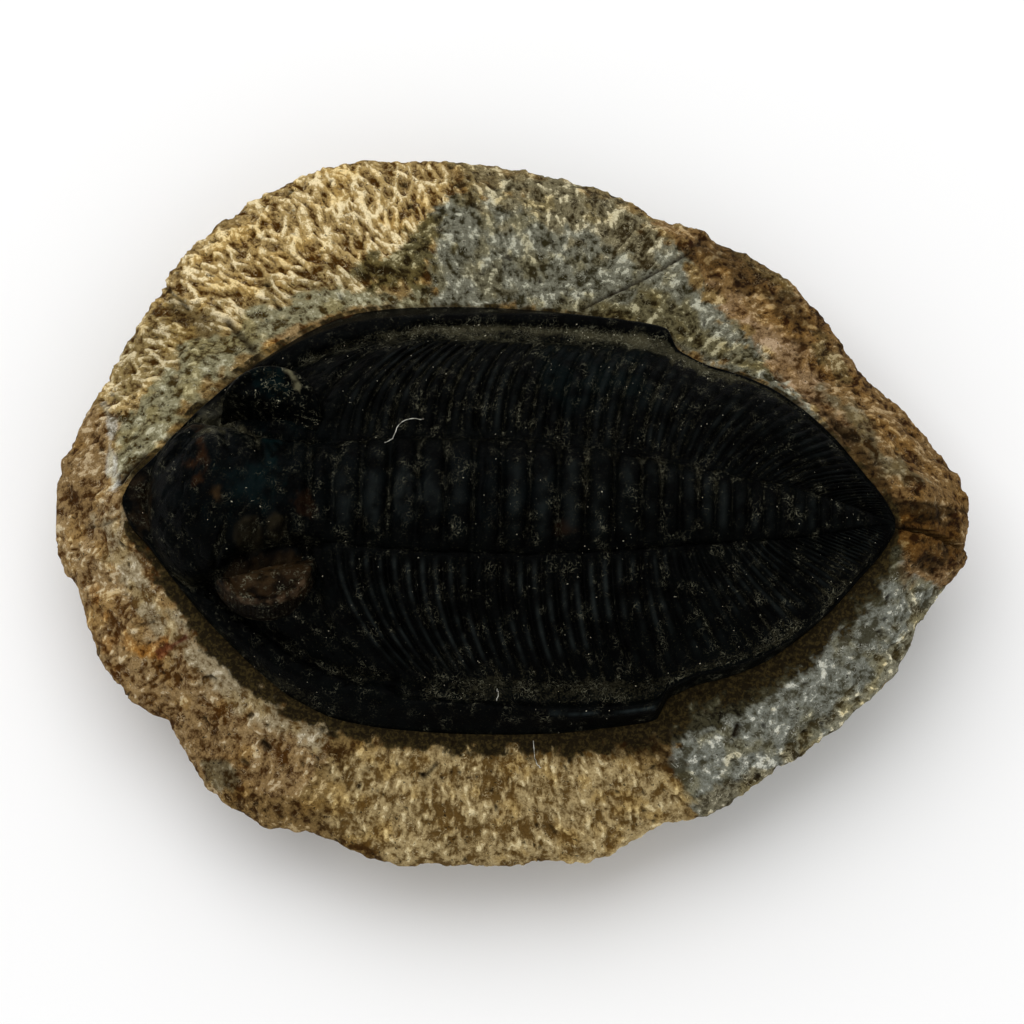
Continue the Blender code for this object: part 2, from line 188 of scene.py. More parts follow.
@dataclass(frozen=True)
class PhotoView:
    """The photograph's camera: a long lens, 15 degrees from straight above, a little towards the viewer."""

    distance: float = 800.0
    tilt: float = math.radians(15.0)
    aim_height: float = 16.0
    pixel_size: float = 0.115
    picture_side: int = 1024
    sensor: float = 36.0

    @property
    def towards(self) -> tuple[float, float, float]:
        """The way from the block to the camera."""
        return 0.0, -math.sin(self.tilt), math.cos(self.tilt)

    def pixels_of(self, points: Array) -> tuple[Array, Array]:
        """Finds where the photograph shows points of the drawing frame.

        Args:
            points: the points, in mm.

        Returns:
            Their pixels, across and down the picture.
        """
        upwards = np.array((0, math.cos(self.tilt), math.sin(self.tilt)))
        offset = points - (0, 0, self.aim_height)
        scale = self.distance / (self.distance - offset @ np.array(self.towards)) / self.pixel_size
        middle = self.picture_side / 2
        return middle + offset[..., 0] * scale, middle - (offset @ upwards) * scale

    def build(self) -> bpy.types.Object:
        """Makes the camera and gives it to the scene.

        Returns:
            The camera.
        """
        lens = bpy.data.cameras.new("photo_camera")
        lens.sensor_width = self.sensor
        lens.lens = self.sensor * self.distance / (self.picture_side * self.pixel_size)
        lens.clip_end = 10.0
        camera = bpy.data.objects.new("photo_camera", lens)
        aim = Vector(TO_PART) + Vector((0, 0, self.aim_height))
        camera.location = (aim + Vector(self.towards) * self.distance) * MM
        camera.rotation_euler = (self.tilt, 0, 0)
        bpy.context.scene.collection.objects.link(camera)
        bpy.context.scene.camera = camera
        return camera


def distance_to(route: Sequence[Pixel], across: Array, down: Array) -> Array:
    """Measures how far places are from a route of straight runs.

    Args:
        route: the route's points, in pixels.
        across, down: the places, in pixels.

    Returns:
        Each place's distance to the nearest run.
    """
    near = np.full(across.shape, np.inf)
    for (x0, y0), (x1, y1) in zip(route, route[1:]):
        run = (x1 - x0) ** 2 + (y1 - y0) ** 2
        t = np.clip(((across - x0) * (x1 - x0) + (down - y0) * (y1 - y0)) / run, 0, 1)
        near = np.minimum(near, np.hypot(across - x0 - t * (x1 - x0), down - y0 - t * (y1 - y0)))
    return near


@dataclass(frozen=True)
class Zone:
    """A stretch of the surface, outlined by a few corners in the photograph's pixels.

    fade is the width of its soft border and ragged how far noise pulls the border about, in pixels.
    """

    corners: tuple[Pixel, ...]
    fade: float = 8.0
    ragged: float = 8.0
    strength: float = 1.0

    def cover(self, across: Array, down: Array, pull: Array) -> Array:
        """Tells how much of the zone is at each place.

        Args:
            across, down: the places, in pixels.
            pull: noise of about -1 to 1 that makes the border ragged.

        Returns:
            The share, 0 to the zone's strength.
        """
        border = (*self.corners, self.corners[0])
        inside = np.zeros(across.shape, bool)
        for (x0, y0), (x1, y1) in zip(border, border[1:]):
            between = (y0 > down) != (y1 > down)
            crossing = x0 + (x1 - x0) * (down - y0) / (y1 - y0 if y1 != y0 else 1)
            inside ^= between & (across < crossing)
        near = distance_to(border, across, down)
        depth = np.where(inside, near, -near) + pull * self.ragged
        return self.strength * ease(-self.fade / 2, self.fade / 2, depth)


@dataclass(frozen=True)
class Stroke:
    """A narrow mark along a few points, such as a crack or a scratch, in the photograph's pixels."""

    route: tuple[Pixel, ...]
    width: float
    depth: float

    def cut(self, across: Array, down: Array) -> Array:
        """Tells how deep the mark is at each place, from 0 to 1, given the places in pixels."""
        return bump(distance_to(self.route, across, down), self.width)


ColourZones = tuple[tuple[Zone, Colour], ...]


def zones_laid_on(colour: Array, colour_zones: ColourZones, across: Array, down: Array, pull: Array) -> Array:
    """Lays zones of colour over a surface's colours, one after the other: stains, painted shade and painted
    highlights.

    Args:
        colour: a colour for each point.
        colour_zones: the zones and their colours.
        across, down: the pixels that show the points.
        pull: noise that makes the zones' borders ragged.

    Returns:
        The colours with the zones laid on.
    """
    for zone, zone_colour in colour_zones:
        cover = zone.cover(across, down, pull)[..., None]
        colour = colour * (1 - cover) + np.array(zone_colour) * cover
    return colour


class Signal:
    """One value or colour on its way through a finish's nodes, with Python's own arithmetic."""

    def __init__(self, recipe: "Recipe", socket: bpy.types.NodeSocket) -> None:
        """Keeps the recipe and the output socket that the value comes from."""
        self.recipe = recipe
        self.socket = socket

    def math(self, operation: str, *values: "Signal | float") -> "Signal":
        """Works a Math node on this value and others."""
        return self.recipe.node("ShaderNodeMath", {"operation": operation}, dict(enumerate((self, *values))))

    def __add__(self, other: "Signal | float") -> "Signal":
        """Adds."""
        return self.math("ADD", other)

    def __sub__(self, other: "Signal | float") -> "Signal":
        """Takes away."""
        return self.math("SUBTRACT", other)

    def __rsub__(self, other: float) -> "Signal":
        """Is taken away from a number."""
        return self.recipe.node("ShaderNodeMath", {"operation": "SUBTRACT"}, {0: other, 1: self})

    def __mul__(self, other: "Signal | float") -> "Signal":
        """Multiplies."""
        return self.math("MULTIPLY", other)

    __radd__ = __add__
    __rmul__ = __mul__

    def between(self, low: float, high: float) -> "Signal":
        """Goes smoothly from 0 at low to 1 at high."""
        settings = {"interpolation_type": "SMOOTHSTEP"}
        return self.recipe.node("ShaderNodeMapRange", settings, {0: self, 1: low, 2: high})

    def near(self, value: float, width: float) -> "Signal":
        """Is 1 where this equals a value, and 0 from a width away on."""
        return 1 - (self - value).math("ABSOLUTE").between(0.0, width)


class Recipe:
    """The node tree of one finish, which ends in a Principled shader."""

    def __init__(self, name: str) -> None:
        """Starts a material.

        Args:
            name: the material's name.
        """
        self.material = bpy.data.materials.new(name)
        self.material.use_nodes = True
        self.tree = self.material.node_tree
        self.shader = self.tree.nodes["Principled BSDF"]

    def plug(self, socket: bpy.types.NodeSocket, value: "Signal | float | Sequence[float]") -> None:
        """Feeds a socket.

        Args:
            socket: an input socket.
            value: a signal to link to it, or a plain value to set on it.
        """
        if isinstance(value, Signal):
            self.tree.links.new(value.socket, socket)
        elif socket.type == "RGBA":
            socket.default_value = (*value, 1.0)
        else:
            socket.default_value = value

    def node(self, kind: str, settings: dict, sockets: dict, output: int | str = 0) -> Signal:
        """Adds one node.

        Args:
            kind: the node's type.
            settings: its own settings, set before its sockets are fed.
            sockets: what feeds its inputs, by name or number.
            output: the output that is read.

        Returns:
            The node's output.
        """
        made = self.tree.nodes.new(kind)
        for name, value in settings.items():
            setattr(made, name, value)
        for name, value in sockets.items():
            self.plug(made.inputs[name], value)
        return Signal(self, made.outputs[output])

    def attribute(self, name: str, output: str = "Fac") -> Signal:
        """Reads a value that the mesh carries at its points."""
        return self.node("ShaderNodeAttribute", {"attribute_name": name}, {}, output)

    def place(self) -> Signal:
        """Reads the place on the piece, in metres."""
        return self.node("ShaderNodeTexCoord", {}, {}, "Object")

    def grain(self, size: float, detail: float = 3.0, rough: float = 0.55, bend: float = 0.0) -> Signal:
        """Adds noise over the piece.

        Args:
            size: length of its coarsest waves, in mm.
            detail: number of finer waves on them.
            rough: strength of the finer waves.
            bend: how far the waves are pulled about.

        Returns:
            The noise, about 0.3 to 0.7.
        """
        sockets = {"Vector": self.place(), "Scale": 1 / (size * MM), "Detail": detail}
        sockets |= {"Roughness": rough, "Distortion": bend}
        return self.node("ShaderNodeTexNoise", {}, sockets)

    def grain_on(self, vector: Signal, scale: float, detail: float = 3.0) -> Signal:
        """Adds noise over a vector of the mesh's own, finer by scale."""
        sockets = {"Vector": vector, "Scale": scale, "Detail": detail, "Roughness": 0.6}
        return self.node("ShaderNodeTexNoise", {}, sockets)

    def mix(self, share: Signal | float, low: Signal | Colour, high: Signal | Colour,
            blend: str = "MIX") -> Signal:
        """Mixes two colours.

        Args:
            share: how much of the second one there is.
            low, high: the first and the second colour.
            blend: the way in which they are mixed.

        Returns:
            The mixed colour.
        """
        settings = {"data_type": "RGBA", "blend_type": blend, "clamp_factor": True}
        return self.node("ShaderNodeMix", settings, {0: share, 6: low, 7: high}, 2)

    def relief(self, height: Signal, depth: float, below: Signal | None = None) -> Signal:
        """Makes small relief for the light.

        Args:
            height: the relief, from 0 to 1.
            depth: its full height, in mm.
            below: coarser relief that this one lies on.

        Returns:
            The bent normal.
        """
        sockets = {"Height": height, "Distance": depth * MM, "Strength": 1.0}
        if below is not None:
            sockets["Normal"] = below
        return self.node("ShaderNodeBump", {}, sockets)

    def finish(self, **sockets: "Signal | float | Sequence[float]") -> bpy.types.Material:
        """Feeds the shader.

        Args:
            sockets: what feeds each of its sockets, by the socket's name with _ for a space.

        Returns:
            The material.
        """
        for name, value in sockets.items():
            self.plug(self.shader.inputs[name.replace("_", " ")], value)
        return self.material


@dataclass(frozen=True)
class StoneLook:
    """How one kind of stone looks: its raised marks, its body, its hollows, and how deep the chisel went."""

    ridge: Colour
    body: Colour
    hollow: Colour
    chisel: float

    def numbers(self) -> Array:
        """The three colours and the chisel's depth in one row."""
        return np.array((*self.ridge, *self.body, *self.hollow, self.chisel))


class Stone(Enum):
    """The kinds of stone on the block."""

    TAN = StoneLook(ink(184, 162, 118), ink(124, 102, 62), ink(54, 34, 8), 0.22)
    CREAM = StoneLook(ink(236, 218, 174), ink(174, 149, 97), ink(66, 40, 5), 0.5)
    BROWN = StoneLook(ink(196, 182, 146), ink(130, 113, 72), ink(58, 36, 6), 0.36)
    PALE = StoneLook(ink(180, 176, 149), ink(132, 127, 98), ink(52, 40, 12), 0.12)
    BLUE_GREY = StoneLook(ink(172, 171, 152), ink(108, 107, 92), ink(40, 36, 18), 0.18)
    MOTTLE = StoneLook(ink(206, 194, 156), ink(120, 110, 80), ink(42, 31, 9), 0.28)
    OLIVE = StoneLook(ink(162, 154, 118), ink(86, 78, 47), ink(28, 20, 2), 0.2)
    RUST = StoneLook(ink(170, 146, 108), ink(116, 90, 53), ink(42, 22, 3), 0.2)
    PINK = StoneLook(ink(166, 142, 114), ink(130, 106, 76), ink(62, 40, 15), 0.1)
    UMBER = StoneLook(ink(78, 65, 40), ink(50, 34, 11), ink(17, 9, 1), 0.2)
    ASH = StoneLook(ink(124, 117, 95), ink(92, 83, 60), ink(44, 30, 8), 0.12)
    ROSE = StoneLook(ink(198, 180, 146), ink(146, 121, 82), ink(68, 42, 12), 0.28)
    BEIGE = StoneLook(ink(216, 199, 156), ink(170, 150, 107), ink(90, 68, 32), 0.3)
    SLATE = StoneLook(ink(204, 204, 190), ink(120, 122, 112), ink(64, 62, 48), 0.15)
    NUBS = StoneLook(ink(236, 227, 192), ink(134, 131, 110), ink(54, 45, 20), 0.3)
    STAIN = StoneLook(ink(96, 94, 76), ink(60, 57, 40), ink(17, 14, 5), 0.2)
    OCHRE = StoneLook(ink(206, 166, 98), ink(148, 102, 42), ink(66, 34, 4), 0.26)
    RED = StoneLook(ink(112, 64, 38), ink(88, 42, 20), ink(50, 20, 7), 0.2)
    BAND = StoneLook(ink(196, 186, 162), ink(154, 142, 114), ink(88, 68, 36), 0.08)
    CHALK = StoneLook(ink(228, 228, 220), ink(190, 188, 176), ink(112, 106, 88), 0.14)


@dataclass(frozen=True)
class LimestoneFinish:
    """Chiselled limestone: bruised pale ridges over darker hollows, with washes, seams and fine pits."""

    roughness: float = 0.9
    gloss: float = 0.06
    pit_colour: Colour = ink(22, 14, 4)
    dirt_colour: Colour = ink(24, 18, 6)
    dirt_crumbs: Colour = ink(56, 46, 22)
    ochre_wash: Colour = (1.0, 0.86, 0.52)
    tooth_shade: Colour = (0.5, 0.45, 0.36)
    grain_depth: float = 0.12
    stroke_depth: float = 0.12
    fine_size: float = 0.5
    crumb_size: float = 1.2
    tooth_size: float = 0.24
    seam_size: float = 1.3
    scratch_size: float = 0.9
    speck_size: float = 0.5
    relief_weight: float = 0.85
    crumb_weight: float = 2.2
    fine_weight: float = 1.9
    body_from: tuple[float, float] = (-0.75, 0.08)
    ridge_from: tuple[float, float] = (0.18, 0.56)
    tooth_strength: float = 0.45
    seam_strength: float = 0.75
    scratch_strength: float = 0.6
    speck_strength: float = 0.8
    dirt_raggedness: float = 1.4

    def make(self) -> bpy.types.Material:
        """Makes the material, which reads the block's colours, relief, dirt and painted shadow at its
        points.

        Returns:
            The material.
        """
        recipe = Recipe("limestone")
        ridge = recipe.attribute("ridge_colour", "Color")
        body = recipe.attribute("body_colour", "Color")
        hollow = recipe.attribute("hollow_colour", "Color")
        relief = recipe.attribute("chisel_relief")
        fine = recipe.grain(self.fine_size, 4.0, 0.68, 0.3)
        strokes = recipe.grain_on(recipe.attribute("chisel_way", "Vector"), 1.9, 2.0)
        crumb = recipe.grain(self.crumb_size, 2.0, 0.6, 0.8)
        carved = recipe.attribute("carved")
        height = relief * self.relief_weight + (strokes - NOISE_MIDDLE) * (carved * 1.2 + 0.2)
        height = height + (crumb - NOISE_MIDDLE) * (1 - carved) * self.crumb_weight
        height = height + (fine - NOISE_MIDDLE) * self.fine_weight
        colour = recipe.mix(height.between(*self.body_from), hollow, body)
        colour = recipe.mix(height.between(*self.ridge_from), colour, ridge)
        colour = recipe.mix(recipe.attribute("wash"), colour, self.ochre_wash, "MULTIPLY")
        tooth = (1 - recipe.grain(self.tooth_size, 1.0).between(0.36, 0.56)) * self.tooth_strength
        colour = recipe.mix(tooth, colour, self.tooth_shade, "MULTIPLY")
        seam = recipe.grain(self.seam_size, 2.0, 0.6, 1.2).near(NOISE_MIDDLE, 0.03)
        seam = seam * recipe.attribute("seam_share") * self.seam_strength
        colour = recipe.mix(seam, colour, hollow)
        scratch = recipe.grain(self.scratch_size, 1.0, 0.5, 2.0).near(NOISE_MIDDLE, 0.035)
        scratch = scratch * recipe.attribute("scratch_share") * self.scratch_strength
        colour = recipe.mix(scratch, colour, ridge)
        # Dirt along the fossil's foot, darkened further by a painted shadow of the fossil on the viewer's
        # side.
        soil_and_shadow = recipe.mix(fine.between(0.44, 0.66), self.dirt_colour, self.dirt_crumbs)
        dirt = recipe.attribute("dirt") + (fine - NOISE_MIDDLE) * self.dirt_raggedness
        colour = recipe.mix(dirt.between(0.2, 0.75), colour, soil_and_shadow)
        speck = (recipe.grain(self.speck_size, 2.0, 0.6) - height * 0.03).between(0.66, 0.7)
        colour = recipe.mix(speck * self.speck_strength, colour, self.pit_colour)
        colour = recipe.mix(recipe.attribute("pits"), colour, self.pit_colour)
        normal = recipe.relief(strokes * carved + crumb * (1 - carved), self.stroke_depth)
        normal = recipe.relief(fine, self.grain_depth, normal)
        return recipe.finish(Base_Color=colour, Roughness=self.roughness, Normal=normal,
                             Specular_IOR_Level=self.gloss)


@dataclass(frozen=True)
class ShellFinish:
    """Near-black calcite shell: satin where it is bare, with dust, fine lint and pale flecks on it."""

    dust_colour: Colour = ink(60, 57, 42)
    lint_colour: Colour = ink(104, 102, 84)
    pale_dust: Colour = ink(180, 174, 152)
    deep_black: Colour = ink(1, 1, 1)
    satin: float = 0.34
    dusty: float = 0.9
    gloss: float = 0.012
    grain_depth: float = 0.1
    fine_size: float = 0.5
    speck_size: float = 0.2
    lint_size: float = 0.8
    fleck_size: float = 0.3
    cloud_strength: float = 0.8
    speck_strength: float = 0.4
    lint_strength: float = 0.8
    veil_dust: float = 1.5
    veil_raggedness: float = 2.4

    def make(self) -> bpy.types.Material:
        """Makes the material, reading at its points the shell's colours, painted shade and highlights, and
        dust.

        Returns:
            The material.
        """
        recipe = Recipe("calcite_shell")
        shell = recipe.attribute("shell_colour", "Color")
        dust = recipe.attribute("dust")
        fine = recipe.grain(self.fine_size, 4.0, 0.75, 0.6)
        colour = recipe.mix(recipe.attribute("cloud") * self.cloud_strength, shell, self.deep_black)
        veil = dust * self.veil_dust + (fine - NOISE_MIDDLE) * self.veil_raggedness
        veil = veil.between(0.45, 1.9)
        colour = recipe.mix(veil, colour, self.dust_colour)
        speck = (recipe.grain(self.speck_size, 2.0, 0.6) + dust * 0.2).between(0.64, 0.74)
        colour = recipe.mix(speck * self.speck_strength, colour, self.dust_colour)
        lint = recipe.grain(self.lint_size, 1.0, 0.5, 1.6).near(NOISE_MIDDLE, 0.03)
        lint = lint * recipe.attribute("lint_share") * self.lint_strength
        colour = recipe.mix(lint, colour, self.lint_colour)
        fleck = (recipe.grain(self.fleck_size, 1.0, 0.5) + dust * 0.05).between(0.79, 0.81)
        colour = recipe.mix(fleck, colour, self.pale_dust)
        matt = (veil + speck + fleck).between(0.0, 0.7)
        roughness = matt * (self.dusty - self.satin) + self.satin
        normal = recipe.relief(fine, self.grain_depth)
        return recipe.finish(Base_Color=colour, Roughness=roughness, Normal=normal,
                             Specular_IOR_Level=self.gloss)


@dataclass(frozen=True)
class FibreFinish:
    """Pale lint, a little uneven along each fibre."""

    clean: Colour = ink(206, 204, 192)
    soiled: Colour = ink(120, 116, 104)
    roughness: float = 0.7
    patch_size: float = 0.8

    def make(self) -> bpy.types.Material:
        """Makes the material.

        Returns:
            The material.
        """
        recipe = Recipe("lint")
        colour = recipe.mix(recipe.grain(self.patch_size).between(0.35, 0.6), self.soiled, self.clean)
        return recipe.finish(Base_Color=colour, Roughness=self.roughness)


@dataclass(frozen=True)
class FloorFinish:
    """The pale paper that the block rests on."""

    colour: Colour = (0.9, 0.9, 0.9)
    roughness: float = 0.9

    def make(self) -> bpy.types.Material:
        """Makes the plain material."""
        recipe = Recipe("pale_floor")
        return recipe.finish(Base_Color=self.colour, Roughness=self.roughness, Specular_IOR_Level=0.0)


def closed_mesh(name: str, rings: Array) -> bpy.types.Mesh:
    """Makes a closed mesh from rings of points, with a fan over its first and its last ring.

    Args:
        name: the mesh's name.
        rings: the points, ring by ring, in mm in the drawing frame.

    Returns:
        The mesh, whose last two points are the middles of the fans.
    """
    count, around = rings.shape[:2]
    first = (np.arange(count - 1)[:, None] * around + np.arange(around)[None, :]).ravel()
    second = (np.arange(count - 1)[:, None] * around + (np.arange(around) + 1)[None, :] % around).ravel()
    faces = np.column_stack([first, second, second + around, first + around]).tolist()
    points = rings.reshape(-1, 3)
    for ring, middle in ((0, len(points)), (count - 1, len(points) + 1)):
        start = np.arange(around) + ring * around
        faces += np.column_stack([start, np.roll(start, -1), np.full(around, middle)]).tolist()
    points = np.vstack([points, rings[0].mean(axis=0), rings[-1].mean(axis=0)])
    mesh = bpy.data.meshes.new(name)
    mesh.from_pydata(((points + TO_PART) * MM).tolist(), [], faces)
    form = bmesh.new()
    form.from_mesh(mesh)
    bmesh.ops.recalc_face_normals(form, faces=form.faces)
    form.to_mesh(mesh)
    form.free()
    mesh.shade_smooth()
    return mesh


def carry(mesh: bpy.types.Mesh, **values: Array) -> None:
    """Puts values on a mesh's points for its finish to read.

    Args:
        mesh: a mesh from closed_mesh.
        values: by name, a number, or three for a colour or a vector, for each point of the rings.
    """
    for name, value in values.items():
        flat = value.reshape(-1, value.shape[-1]) if value.ndim == 3 else value.reshape(-1, 1)
        flat = np.vstack([flat, flat[:1], flat[-1:]])
        if flat.shape[1] == 1:
            kind, key = "FLOAT", "value"
        elif name.endswith("_colour"):
            flat = np.column_stack([flat, np.ones(len(flat))])
            kind, key = "FLOAT_COLOR", "color"
        else:
            kind, key = "FLOAT_VECTOR", "vector"
        mesh.attributes.new(name, kind, "POINT").data.foreach_set(key, flat.ravel())


def add_piece(name: str, mesh: bpy.types.Mesh, material: bpy.types.Material) -> bpy.types.Object:
    """Links a piece, dresses it and lets it ride on the block's body.

    Args:
        name: the piece's name.
        mesh: its mesh.
        material: its finish.

    Returns:
        The piece.
    """
    piece = bpy.data.objects.new(name, mesh)
    bpy.context.scene.collection.objects.link(piece)
    mesh.materials.append(material)
    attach(piece, BODY)
    log.info("%s: %d points", name, len(mesh.vertices))
    return piece


def kept_in(node: str, points: Array) -> Array:
    """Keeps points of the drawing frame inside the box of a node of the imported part."""
    low, high = (np.array(corner) / MM - TO_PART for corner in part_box(node))
    return np.clip(points, low, high)


def normals_of(rings: Array) -> Array:
    """Works out which way a form of closed rings faces.

    Args:
        rings: the points, ring by ring.

    Returns:
        A unit vector for each point, which leads away from the form's middle.
    """
    along = np.gradient(rings, axis=0)
    around = np.roll(rings, -1, axis=1) - np.roll(rings, 1, axis=1)
    facing = np.cross(along, around)
    facing /= np.maximum(np.linalg.norm(facing, axis=-1, keepdims=True), 1e-9)
    outwards = (facing * (rings - rings.mean(axis=(0, 1)))).sum(axis=-1, keepdims=True)
    return facing * np.sign(outwards + 1e-9)


def smoothed(values: Array, rounds: int) -> Array:
    """Averages a grid with its neighbours, over and over.

    Args:
        values: the grid.
        rounds: how often it is averaged.

    Returns:
        The smooth grid.
    """
    for _ in range(rounds):
        padded = np.pad(values, 1, mode="edge")
        sides = padded[:-2, 1:-1] + padded[2:, 1:-1] + padded[1:-1, :-2] + padded[1:-1, 2:]
        values = (values + sides) / 5
    return values


@dataclass
class Trilobite:
    """The fossil: its ribbed body with the head and the two cheek spines, in one piece."""

    view: PhotoView
    finish: bpy.types.Material
    nose: tuple[float, float] = (-44.4, -0.55)
    turn: float = math.radians(-1.8)
    margin_height: float = 23.0
    foot_height: float = 19.3
    head_length: float = 24.2
    segments: int = 11
    thorax_end: float = 59.1
    tail_rings: int = 16
    rings_end: float = 85.5
    body_length: float = 88.1
    spine_start: float = 33.0
    spine_end: float = 62.5
    tail_start: float = 66.0
    head_lines: int = 150
    lines_a_segment: int = 18
    lines_a_tail_ring: int = 10
    tip_lines: int = 6
    lobe_columns: int = 26
    flank_columns: int = 44
    rim_columns: int = 12
    wall_columns: int = 5
    head_spacing: float = 1.1
    tail_crowding: float = 0.35
    head_share: float = 0.88
    thorax_border: float = 0.4
    tail_border: float = 0.5
    rim_samples: int = 240
    boss_height: float = 0.35
    side_lobe_height: float = 0.5
    border_width: float = 2.6
    border_height: float = 0.45
    cheek_rise: float = 9.0
    side_furrow_depth: float = 0.95
    side_furrow_width: float = 0.5
    glabella_groove: float = 0.55
    neck_depth: float = 0.9
    neck_line: float = 0.885
    neck_width: float = 0.026
    rib_gap_width: float = 0.1
    rib_groove_share: float = 0.7
    rib_groove_width: float = 0.09
    break_station: float = 41.4
    break_depth: float = 0.35
    crease_depth: float = 0.35
    dust_hollow_rounds: int = 60
    broad_swell: Waves = Waves(11, 5.0, 2, 0.4)
    small_grain: Waves = Waves(13, 1.3, 3)
    pimples: Waves = Waves(14, 0.7)
    creases: Waves = Waves(16, 4.2, 3)
    dust_cloud: Waves = Waves(21, 5.0, 3, 0.5)
    dust_pull: Waves = Waves(22, 3.0, 2)
    black_cloud: Waves = Waves(23, 2.2, 3)
    lint_patches: Waves = Waves(24, 1.8, 4)
    colour_zone_pull: Waves = Waves(31, 1.6, 4)
    crest_highlight_patches: Waves = Waves(32, 6.0, 3)
    surface: Array = field(init=False)

    rim_half_width: Knots = (
        (0, 0.5), (1, 2.7), (3.1, 5.0), (5.5, 7.9), (8.3, 11.1), (11, 13.7), (13.6, 15.8), (17.1, 18.2),
        (20.5, 20.1), (25.4, 22.0), (30.8, 22.9), (36.4, 23.3), (43.2, 23.6), (50, 23.8), (54.6, 23.5),
        (59.1, 23.0), (61.5, 22.4), (62.8, 20.0), (64, 19.3), (66, 18.3), (68.9, 17.5), (73, 16.0),
        (77, 13.5), (81.1, 9.9), (84.3, 6.1), (86.8, 3.0), (88.1, 0.7),
    )
    wall_run: Knots = (
        (0, 0.3), (3, 0.4), (6, 0.8), (11, 1.3), (17, 1.7), (26, 2.2), (36, 2.1), (43, 1.8), (50, 1.2),
        (59, 0.6), (66, 0.5), (88.1, 0.3),
    )
    thorax_half_width: Knots = ((33, 20.4), (45, 20.3), (55, 20.2), (61, 19.5), (64, 18.8), (66, 17.8))
    lobe_half_width: Knots = (
        (0, 0.25), (1, 1.2), (3, 3.0), (6, 5.6), (10, 7.6), (14, 7.2), (18, 6.2), (22, 5.9), (24.2, 5.9),
        (30, 6.4), (36, 6.7), (45, 6.65), (52, 6.2), (59, 5.4), (63.7, 4.7), (70.5, 3.8), (77.3, 2.8),
        (83, 1.5), (85.5, 0.8), (88.1, 0.2),
    )
    lobe_crest: Knots = (
        (20, 9.6), (24.2, 9.8), (30, 10.2), (40, 10.4), (50, 9.9), (59, 8.9), (66, 7.6), (73, 6.0),
        (80, 4.2), (85, 2.5), (88.1, 0.4),
    )
    lobe_furrow: Knots = (
        (20, 6.4), (24.2, 6.6), (35, 7.0), (45, 7.0), (59, 6.0), (66, 5.2), (73, 4.1), (80, 2.8),
        (85, 1.6), (88.1, 0.3),
    )
    margin_station: Knots = (
        (0, 0), (12, 16.4), (24.2, 33.0), (25.8, 34.4), (31.8, 38.3), (37, 41.7), (43.2, 46.8),
        (51.2, 54.2), (59.1, 62.8), (65.9, 73.2), (70.5, 79.0), (76.2, 84.0), (85.5, 87.6), (88.1, 88.1),
    )
    sweep_power: Knots = ((0, 1.6), (24.2, 2.2), (40, 2.6), (59, 2.0), (66, 1.4), (88.1, 1.2))
    ring_depth: Knots = ((24.2, 1.1), (45, 1.2), (59, 1.0), (70, 0.7), (82, 0.4), (88.1, 0.1))
    rib_depth: Knots = ((24.2, 0.62), (45, 0.66), (59, 0.66), (70, 0.66), (82, 0.45), (88.1, 0.1))
    cheek_height: Knots = ((0, 0.2), (4, 1.8), (9, 4.2), (14, 5.8), (20, 6.6), (24.2, 6.7), (40, 6.7))
    glabella_half_width: Knots = (
        (2.8, 0.0), (3.3, 3.4), (4.2, 5.9), (6, 8.3), (8.2, 9.3), (10.4, 9.0), (13, 7.6),
        (16, 6.5), (19, 6.0), (21.6, 5.8), (24.2, 5.9),
    )
    glabella_crest: Knots = (
        (2.8, 0.6), (3.6, 2.6), (5, 4.9), (8, 7.4), (12, 8.9), (16, 9.5), (20, 9.6), (24.2, 9.8),
    )
    side_furrows: Knots = ((11.8, 3.6), (15.6, 1.2), (19.0, 0.4))
    spine_profile: Knots = (
        (0, 0.0), (0.2, -0.25), (0.4, -0.4), (0.54, -0.25), (0.64, 0.1), (0.78, 0.3), (0.92, 0.2), (1, -0.1),
    )

    @property
    def last_line(self) -> int:
        """The line at the tip of the tail."""
        return 1 + self.segments + self.tail_rings + 1

    def lines(self) -> Array:
        """Lists the fine mesh's lines, closest where the ribs are.

        Returns:
            The lines, from the nose to the tip of the tail.
        """
        head = np.linspace(0, 1, self.head_lines + 1) ** self.head_spacing
        thorax_steps = self.segments * self.lines_a_segment
        thorax = 1 + np.arange(1, thorax_steps + 1) / self.lines_a_segment
        tail_steps = self.tail_rings * self.lines_a_tail_ring
        tail = 1 + self.segments + np.arange(1, tail_steps + 1) / self.lines_a_tail_ring
        tip = self.last_line - 1 + np.arange(1, self.tip_lines + 1) / self.tip_lines
        return np.concatenate([head, thorax, tail, tip])

    def line_to_axis(self, line: Array) -> Array:
        """Finds where lines cross the axis.

        Args:
            line: the lines.

        Returns:
            Each one's distance from the nose.
        """
        head = self.head_length * line
        thorax = self.head_length + (self.thorax_end - self.head_length) * (line - 1) / self.segments
        t = np.clip((line - 1 - self.segments) / self.tail_rings, 0, 1)
        crowded = (1 + self.tail_crowding) * t - self.tail_crowding * t * t
        tail = self.thorax_end + (self.rings_end - self.thorax_end) * crowded
        tip = self.rings_end + (self.body_length - self.rings_end) * (line - self.last_line + 1)
        back = np.where(line < 1 + self.segments, thorax, np.where(line < self.last_line - 1, tail, tip))
        return np.where(line < 1, head, back)

    def body_half_width(self, station: Array) -> Array:
        """Measures the body inside its rim.

        Args:
            station: how far along the margin it is measured, from the nose.

        Returns:
            Half its width there.
        """
        rim = curve_through(self.rim_half_width, station)
        thorax = np.minimum(curve_through(self.thorax_half_width, station), rim - self.thorax_border)
        tail = np.maximum(rim - self.tail_border, 0.15)
        back = np.where(station < self.tail_start, thorax, tail)
        return np.where(station < self.spine_start, rim * self.head_share, back)

